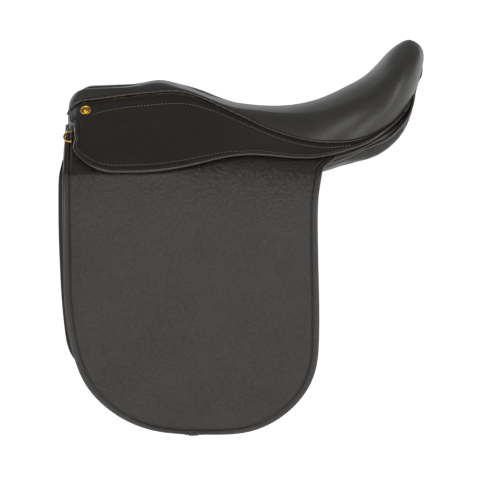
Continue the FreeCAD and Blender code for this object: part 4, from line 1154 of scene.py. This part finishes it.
def build_flap(side):
    """A flap with the rolled bead and the stitches of its binding."""
    sign = SIDES[side]
    points = flap_points()
    placed = on_side(points, sign)
    outward = np.array([0.0, sign, 0.3])
    flap = leather_sheet("flap_" + side + "_leather", placed, outward, FLAP_THICKNESS, finish_of("flap"))
    with_flap(flap)
    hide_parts("flap_top_" + side, "flap_" + side, "flap_binding_" + side)
    normals = grid_normals(placed, outward)
    line, normal = offset_outline(placed, normals, 0.6)
    bead = tube("flap_" + side + "_edge", evenly(line - 1.9 * normal, 2.2), 2.35, finish_of("edge"),
                up=(0.3, 1.0, 0.2), sides=10)
    with_flap(bead)
    line, normal = offset_outline(placed, normals, 5.0)
    row = stitch_row("flap_" + side + "_stitches", line + 0.1 * normal, normal,
                     finish_of("black_thread"), bpy.context.scene.saddle.flap_stitch / MM, 0.9)
    with_flap(row)


# ---------------------------------------------------------------- sweat flaps
SWEAT_FRONT_EDGE = [
    (-250.0, 44), (-252, 20), (-253, -20), (-253, -70), (-252, -110), (-250, -160), (-246, -208),
    (-239, -240), (-226, -258), (-200, -271), (-160, -279), (-80, -283),
]
SWEAT_REAR_EDGE = [
    (95, 14), (95, -10), (95, -60), (94, -140), (91, -190), (82, -222), (62, -252), (30, -270),
    (-20, -280), (-70, -283),
]
# Above the bend a row's second number is no longer its height but the length run up the leather.
sweat_bend = line_through([
    (-300, 193.5, -300), (-60, 193.5, -60), (-20, 193.2, -20), (0, 191, -0.5), (14, 184.5, 11),
    (30, 171, 21), (46, 156, 31),
])
sweat_front = by_length(SWEAT_FRONT_EDGE)
sweat_rear = by_length(SWEAT_REAR_EDGE)


def build_sweat_flap(side):
    """The inner flap: flat and upright, with its horn running up beside the head."""
    sign = SIDES[side]
    across = close_spaced(0, 1, 70)
    share = np.linspace(0, 1, 110)
    first, last = sweat_front(share), sweat_rear(share)
    flat = first[:, None] + across[None, :, None] * (last - first)[:, None]
    x, run = flat[..., 0], flat[..., 1]
    bent = sweat_bend(run)
    ripple = 0.6 * np.sin(x / 70.0 + run / 60.0) * ease(-run, 0, 60)
    points = on_side(stacked(x, bent[..., 0] + ripple, bent[..., 1]), sign)
    outward = np.array([0.0, sign, 0.0])
    sheet = leather_sheet("sweat_flap_" + side + "_leather", points, outward, 3.0, finish_of("lining"))
    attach(sheet, "saddle")
    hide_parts("sweat_flap_" + side)
    normals = grid_normals(points, outward)
    line, normal = offset_outline(points, normals, 4.5)
    row = stitch_row("sweat_flap_" + side + "_stitches", line, normal,
                     finish_of("black_thread"), 4.6, 0.9)
    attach(row, "saddle")


# ---------------------------------------------------------------- panels
VOXEL = 5.0
PRESSURE = 4.0


def stuffed(name, node, material, start_smaller, cap, frames=20):
    """A stuffed piece from a CAD node: its shape is remeshed, drawn in a little, swelled by
    cloth pressure for some frames, held to a cap on how far it may move, and subdivided."""
    work = bmesh.new()
    work.from_mesh(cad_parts[node].data)
    bmesh.ops.remove_doubles(work, verts=work.verts, dist=1e-6)
    bmesh.ops.recalc_face_normals(work, faces=work.faces)
    mesh = bpy.data.meshes.new(name)
    work.to_mesh(mesh)
    work.free()
    piece = bpy.data.objects.new(name, mesh)
    bpy.context.scene.collection.objects.link(piece)
    remesh = piece.modifiers.new("voxels", "REMESH")
    remesh.mode = "VOXEL"
    remesh.voxel_size = VOXEL * MM
    soften = piece.modifiers.new("soften", "SMOOTH")
    soften.factor = 0.5
    soften.iterations = 8
    apply_modifiers(piece)
    co = read_points(piece)
    normals = np.zeros(len(co) * 3, np.float32)
    piece.data.vertices.foreach_get("normal", normals)
    rest = co - start_smaller * MM * normals.reshape(-1, 3)
    write_points(piece, rest)
    cloth = piece.modifiers.new("cloth", "CLOTH")
    cloth.settings.use_pressure = True
    cloth.settings.uniform_pressure_force = PRESSURE
    cloth.settings.effector_weights.gravity = 0.0
    cloth.settings.quality = 5
    cloth.point_cache.frame_start = 1
    cloth.point_cache.frame_end = frames
    for step in range(1, frames + 1):
        bpy.context.scene.frame_set(step)
    apply_modifiers(piece)
    moved = read_points(piece) - rest
    far = np.linalg.norm(moved, axis=1, keepdims=True)
    write_points(piece, rest + moved * np.minimum(1, cap * MM / np.maximum(far, 1e-9)))
    bpy.context.scene.frame_set(1)
    finer = piece.modifiers.new("finer", "SUBSURF")
    finer.levels = finer.render_levels = 1
    apply_modifiers(piece)
    piece.data.materials.clear()
    piece.data.materials.append(material)
    piece.data.shade_smooth()
    return piece


def read_points(piece):
    """A piece's points, in metres, one to a row."""
    co = np.empty(len(piece.data.vertices) * 3, np.float32)
    piece.data.vertices.foreach_get("co", co)
    return co.reshape(-1, 3).astype(float)


def write_points(piece, points):
    """Puts points, in metres, back in the piece's mesh."""
    piece.data.vertices.foreach_set("co", points.astype(np.float32).ravel())
    piece.data.update()


PANEL_WELT = [
    (120, 176, 24), (136, 173, 29), (157, 166, 37), (179, 159, 46), (201, 149, 54), (216, 140.5, 62),
    (229, 129, 74), (241, 113, 88), (248.5, 99, 104), (251.5, 86, 117),
]


def build_panel(side):
    """A flocked panel and the welt along its rear."""
    sign = SIDES[side]
    panel = stuffed("panel_" + side + "_stuffed", "panel_" + side, finish_of("panel"), 3.0, 6.0)
    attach(panel, "saddle")
    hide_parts("panel_" + side)
    line = by_length(PANEL_WELT)(np.linspace(0, 1, 120))
    cord = tube("panel_" + side + "_welt", evenly(on_side(line, sign), 2.0), 2.0,
                finish_of("edge"), sides=10)
    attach(cord, "saddle")
    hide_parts("panel_welt_" + side)


def build_gusset(side):
    """The rear gusset: a strip from under the skirt's hem to the panel's welt, bowed outwards
    between the two lines, with a second cord along its middle."""
    sign = SIDES[side]
    along = np.linspace(0, 1, 110)
    stations = 132 + 208 * along
    hem = hem_line(stations) - np.array([1.0, 5.0, 2.0])
    low = by_length(PANEL_WELT)(np.clip(0.03 + 0.97 * along, 0, 1))
    bow = np.linspace(0, 1, 14)
    middle = len(bow) // 2 - 1
    out = unit(stacked(0.9 * ease(along, 0.3, 1.0), 1.0 - 0.4 * along, -0.35))
    strip = hem[None] + bow[:, None, None] * (low - hem)[None]
    strip = strip + 3.0 * np.sin(math.pi * bow)[:, None, None] * out[None]
    placed, out = on_side(strip, sign), on_side(out, sign)
    sheet = leather_sheet("rear_gusset_" + side, placed, out[None] * np.ones((len(bow), 1, 1)),
                          2.0, finish_of("panel"))
    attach(sheet, "saddle")
    cord = tube("rear_gusset_" + side + "_welt", evenly(placed[middle] + 0.4 * out, 2.0), 1.7,
                finish_of("edge"), sides=10)
    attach(cord, "saddle")


# ---------------------------------------------------------------- finishes of the frame's own pieces
NODE_FINISH = {
    "seat_foam": "latex", "seat_webs": "canvas", "girth_web": "canvas", "tree_": "beech",
    "head_plate": "japanned", "gullet_plate": "japanned", "seat_spring": "japanned",
    "head_rivets": "steel", "bar_rivets": "steel", "stirrup_bar": "steel", "bar_catch": "steel",
    "saddle_nail": "brass", "dee_ring": "brass", "dee_tab": "strap", "billet": "strap",
    "buckle_guard": "strap", "point_pocket": "lining", "panel_bridge": "lining",
    "pommel_lining": "lining", "seat_cover": "seat", "seat_welt": "edge", "skirt": "skirt",
    "flap_binding": "edge", "flap": "flap", "sweat_flap": "lining", "panel": "panel",
}


def finish_frame():
    """Gives every CAD node the finish of the longest name that it starts with."""
    for name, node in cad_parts.items():
        key = max((k for k in NODE_FINISH if name.startswith(k)), key=len)
        node.data.materials.clear()
        node.data.materials.append(finish_of(NODE_FINISH[key]))


# ---------------------------------------------------------------- stage
CAMERA_PLACE = (0.015, -3.1794, 0.2453)
CAMERA_TARGET = (0.015, 0.0, -0.117)
SENSOR_MM = 36.0
LENS_MM = 153.6
AIR_STRENGTH = 0.22


def build_stage():
    """A pale round floor whose rim turns up as the square of the distance past its flat part,
    soft lights and the camera."""
    floor_height, flat_reach, rim_reach, rim_rise = -700.0, 5000.0, 9500.0, 3200.0
    reach = np.concatenate([[1.0, 1500, 3500], np.linspace(flat_reach, rim_reach, 20)])
    turn = np.linspace(0, 2 * math.pi, 97)
    past = np.clip(reach - flat_reach, 0, None) / (rim_reach - flat_reach)
    points = stacked(reach[:, None] * np.cos(turn), reach[:, None] * np.sin(turn),
                     (floor_height + rim_rise * past ** 2)[:, None])
    sweep = new_piece("studio_sweep", points.reshape(-1, 3), grid_faces(len(reach), len(turn)),
                      finish_of("paper"))
    if sum(p.normal.z * p.area for p in sweep.data.polygons) < 0:
        sweep.data.flip_normals()
    # Each light's name, place, target, width and height in metres, and power in watts.
    lights = [
        ("light_front_low", (-0.5, -3.4, -0.1), (0.0, 0.0, -0.2), (2.6, 0.9), 5.0),
        ("light_strip", (0.7, -3.0, 0.55), (0.1, 0.0, 0.05), (2.4, 0.16), 13.0),
        ("light_front_high", (-1.6, -3.0, 2.6), (0.0, 0.0, -0.1), (1.6, 1.0), 30.0),
        ("light_right", (2.6, -1.4, 1.3), (0.15, 0.0, 0.1), (0.5, 1.6), 16.0),
        ("light_rear_left", (-2.2, 1.6, 1.6), (-0.1, 0.0, 0.1), (1.0, 1.2), 10.0),
    ]
    for name, place, target, area, power in lights:
        data = bpy.data.lights.new(name, "AREA")
        data.shape = "RECTANGLE"
        data.size, data.size_y = area
        data.energy = power
        light = bpy.data.objects.new(name, data)
        light.location = place
        light.rotation_euler = (Vector(target) - Vector(place)).to_track_quat("-Z", "Y").to_euler()
        bpy.context.scene.collection.objects.link(light)
    world = bpy.data.worlds.new("studio_air")
    world.use_nodes = True
    feed(world.node_tree, world.node_tree.nodes["Background"],
         {"Color": linear("#ffffff"), "Strength": AIR_STRENGTH})
    bpy.context.scene.world = world
    bpy.context.scene.view_settings.view_transform = "Standard"
    camera_data = bpy.data.cameras.new("camera")
    camera_data.sensor_width = SENSOR_MM
    camera_data.lens = LENS_MM
    camera_data.clip_end = 50.0
    camera = bpy.data.objects.new("camera", camera_data)
    place, target = Vector(CAMERA_PLACE), Vector(CAMERA_TARGET)
    camera.location = place
    camera.rotation_euler = (target - place).to_track_quat("-Z", "Y").to_euler()
    bpy.context.scene.collection.objects.link(camera)
    bpy.context.scene.camera = camera


# ---------------------------------------------------------------- the add-on
class SaddleSettings(bpy.types.PropertyGroup):
    """The sizes and colours that a user may change before the pieces are built."""
    welt_radius: bpy.props.FloatProperty(
        name="Welt radius", description="Radius of the plaited welt round the seat",
        default=2.5 * MM, min=1 * MM, max=5 * MM, precision=4, unit="LENGTH",
    )
    skirt_stitch: bpy.props.FloatProperty(
        name="Skirt stitch", description="Length of one stitch on the skirts' hem",
        default=4.6 * MM, min=2 * MM, max=8 * MM, precision=4, unit="LENGTH",
    )
    flap_stitch: bpy.props.FloatProperty(
        name="Flap stitch", description="Length of one stitch on the flaps' binding",
        default=4.4 * MM, min=2 * MM, max=8 * MM, precision=4, unit="LENGTH",
    )
    thread_colour: bpy.props.FloatVectorProperty(
        name="Thread colour", description="Colour of the waxed thread on the skirts",
        default=linear("#85725e"), size=4, min=0.0, max=1.0, subtype="COLOR",
    )


class SADDLE_OT_seat(bpy.types.Operator):
    """Build the seat, its cut-back and the plaited welt"""
    bl_idname = "saddle.seat"
    bl_label = "Seat and welt"

    def execute(self, context):
        build_seat()
        build_notch()
        build_welt()
        return {"FINISHED"}


def per_side(build):
    """Builds the left one, then the right one."""
    for side in SIDES:
        build(side)


class SADDLE_OT_skirts(bpy.types.Operator):
    """Build the skirts with their seams and rolled edges"""
    bl_idname = "saddle.skirts"
    bl_label = "Skirts"

    def execute(self, context):
        per_side(build_skirt)
        return {"FINISHED"}


class SADDLE_OT_nails(bpy.types.Operator):
    """Drive in the two domed saddle nails"""
    bl_idname = "saddle.nails"
    bl_label = "Saddle nails"

    def execute(self, context):
        per_side(build_nail)
        return {"FINISHED"}


class SADDLE_OT_flaps(bpy.types.Operator):
    """Build the flaps with their bound and stitched edges"""
    bl_idname = "saddle.flaps"
    bl_label = "Flaps"

    def execute(self, context):
        per_side(build_flap)
        return {"FINISHED"}


class SADDLE_OT_sweat_flaps(bpy.types.Operator):
    """Build the sweat flaps inside the flaps"""
    bl_idname = "saddle.sweat_flaps"
    bl_label = "Sweat flaps"

    def execute(self, context):
        per_side(build_sweat_flap)
        return {"FINISHED"}


class SADDLE_OT_panels(bpy.types.Operator):
    """Stuff the panels and sew in their welts"""
    bl_idname = "saddle.panels"
    bl_label = "Panels"

    def execute(self, context):
        per_side(build_panel)
        per_side(build_gusset)
        return {"FINISHED"}


class SADDLE_OT_finishes(bpy.types.Operator):
    """Give the frame's own pieces their metals, wood, straps and webbing"""
    bl_idname = "saddle.finishes"
    bl_label = "Frame finishes"

    def execute(self, context):
        finish_frame()
        return {"FINISHED"}


class SADDLE_OT_stage(bpy.types.Operator):
    """Set up the floor, the lights and the camera"""
    bl_idname = "saddle.stage"
    bl_label = "Stage"

    def execute(self, context):
        build_stage()
        return {"FINISHED"}


OPERATORS = (
    SADDLE_OT_finishes, SADDLE_OT_seat, SADDLE_OT_skirts, SADDLE_OT_nails, SADDLE_OT_flaps,
    SADDLE_OT_sweat_flaps, SADDLE_OT_panels, SADDLE_OT_stage,
)


class SADDLE_PT_panel(bpy.types.Panel):
    """Lists the saddle's operators"""
    bl_idname = "SADDLE_PT_panel"
    bl_label = "Saddle"
    bl_space_type = "VIEW_3D"
    bl_region_type = "UI"
    bl_category = "Saddle"

    def draw(self, context):
        for setting in ("welt_radius", "skirt_stitch", "flap_stitch", "thread_colour"):
            self.layout.prop(context.scene.saddle, setting)
        for operator in OPERATORS:
            self.layout.operator(operator.bl_idname)


CLASSES = (SaddleSettings,) + OPERATORS + (SADDLE_PT_panel,)


def register():
    for item in CLASSES:
        bpy.utils.register_class(item)
    bpy.types.Scene.saddle = bpy.props.PointerProperty(type=SaddleSettings)


def unregister():
    del bpy.types.Scene.saddle
    for item in reversed(CLASSES):
        bpy.utils.unregister_class(item)


def main():
    register()
    bpy.ops.saddle.finishes()
    bpy.ops.saddle.seat()
    bpy.ops.saddle.skirts()
    bpy.ops.saddle.nails()
    bpy.ops.saddle.flaps()
    bpy.ops.saddle.sweat_flaps()
    bpy.ops.saddle.panels()
    bpy.ops.saddle.stage()


if __name__ == "__main__":
    main()
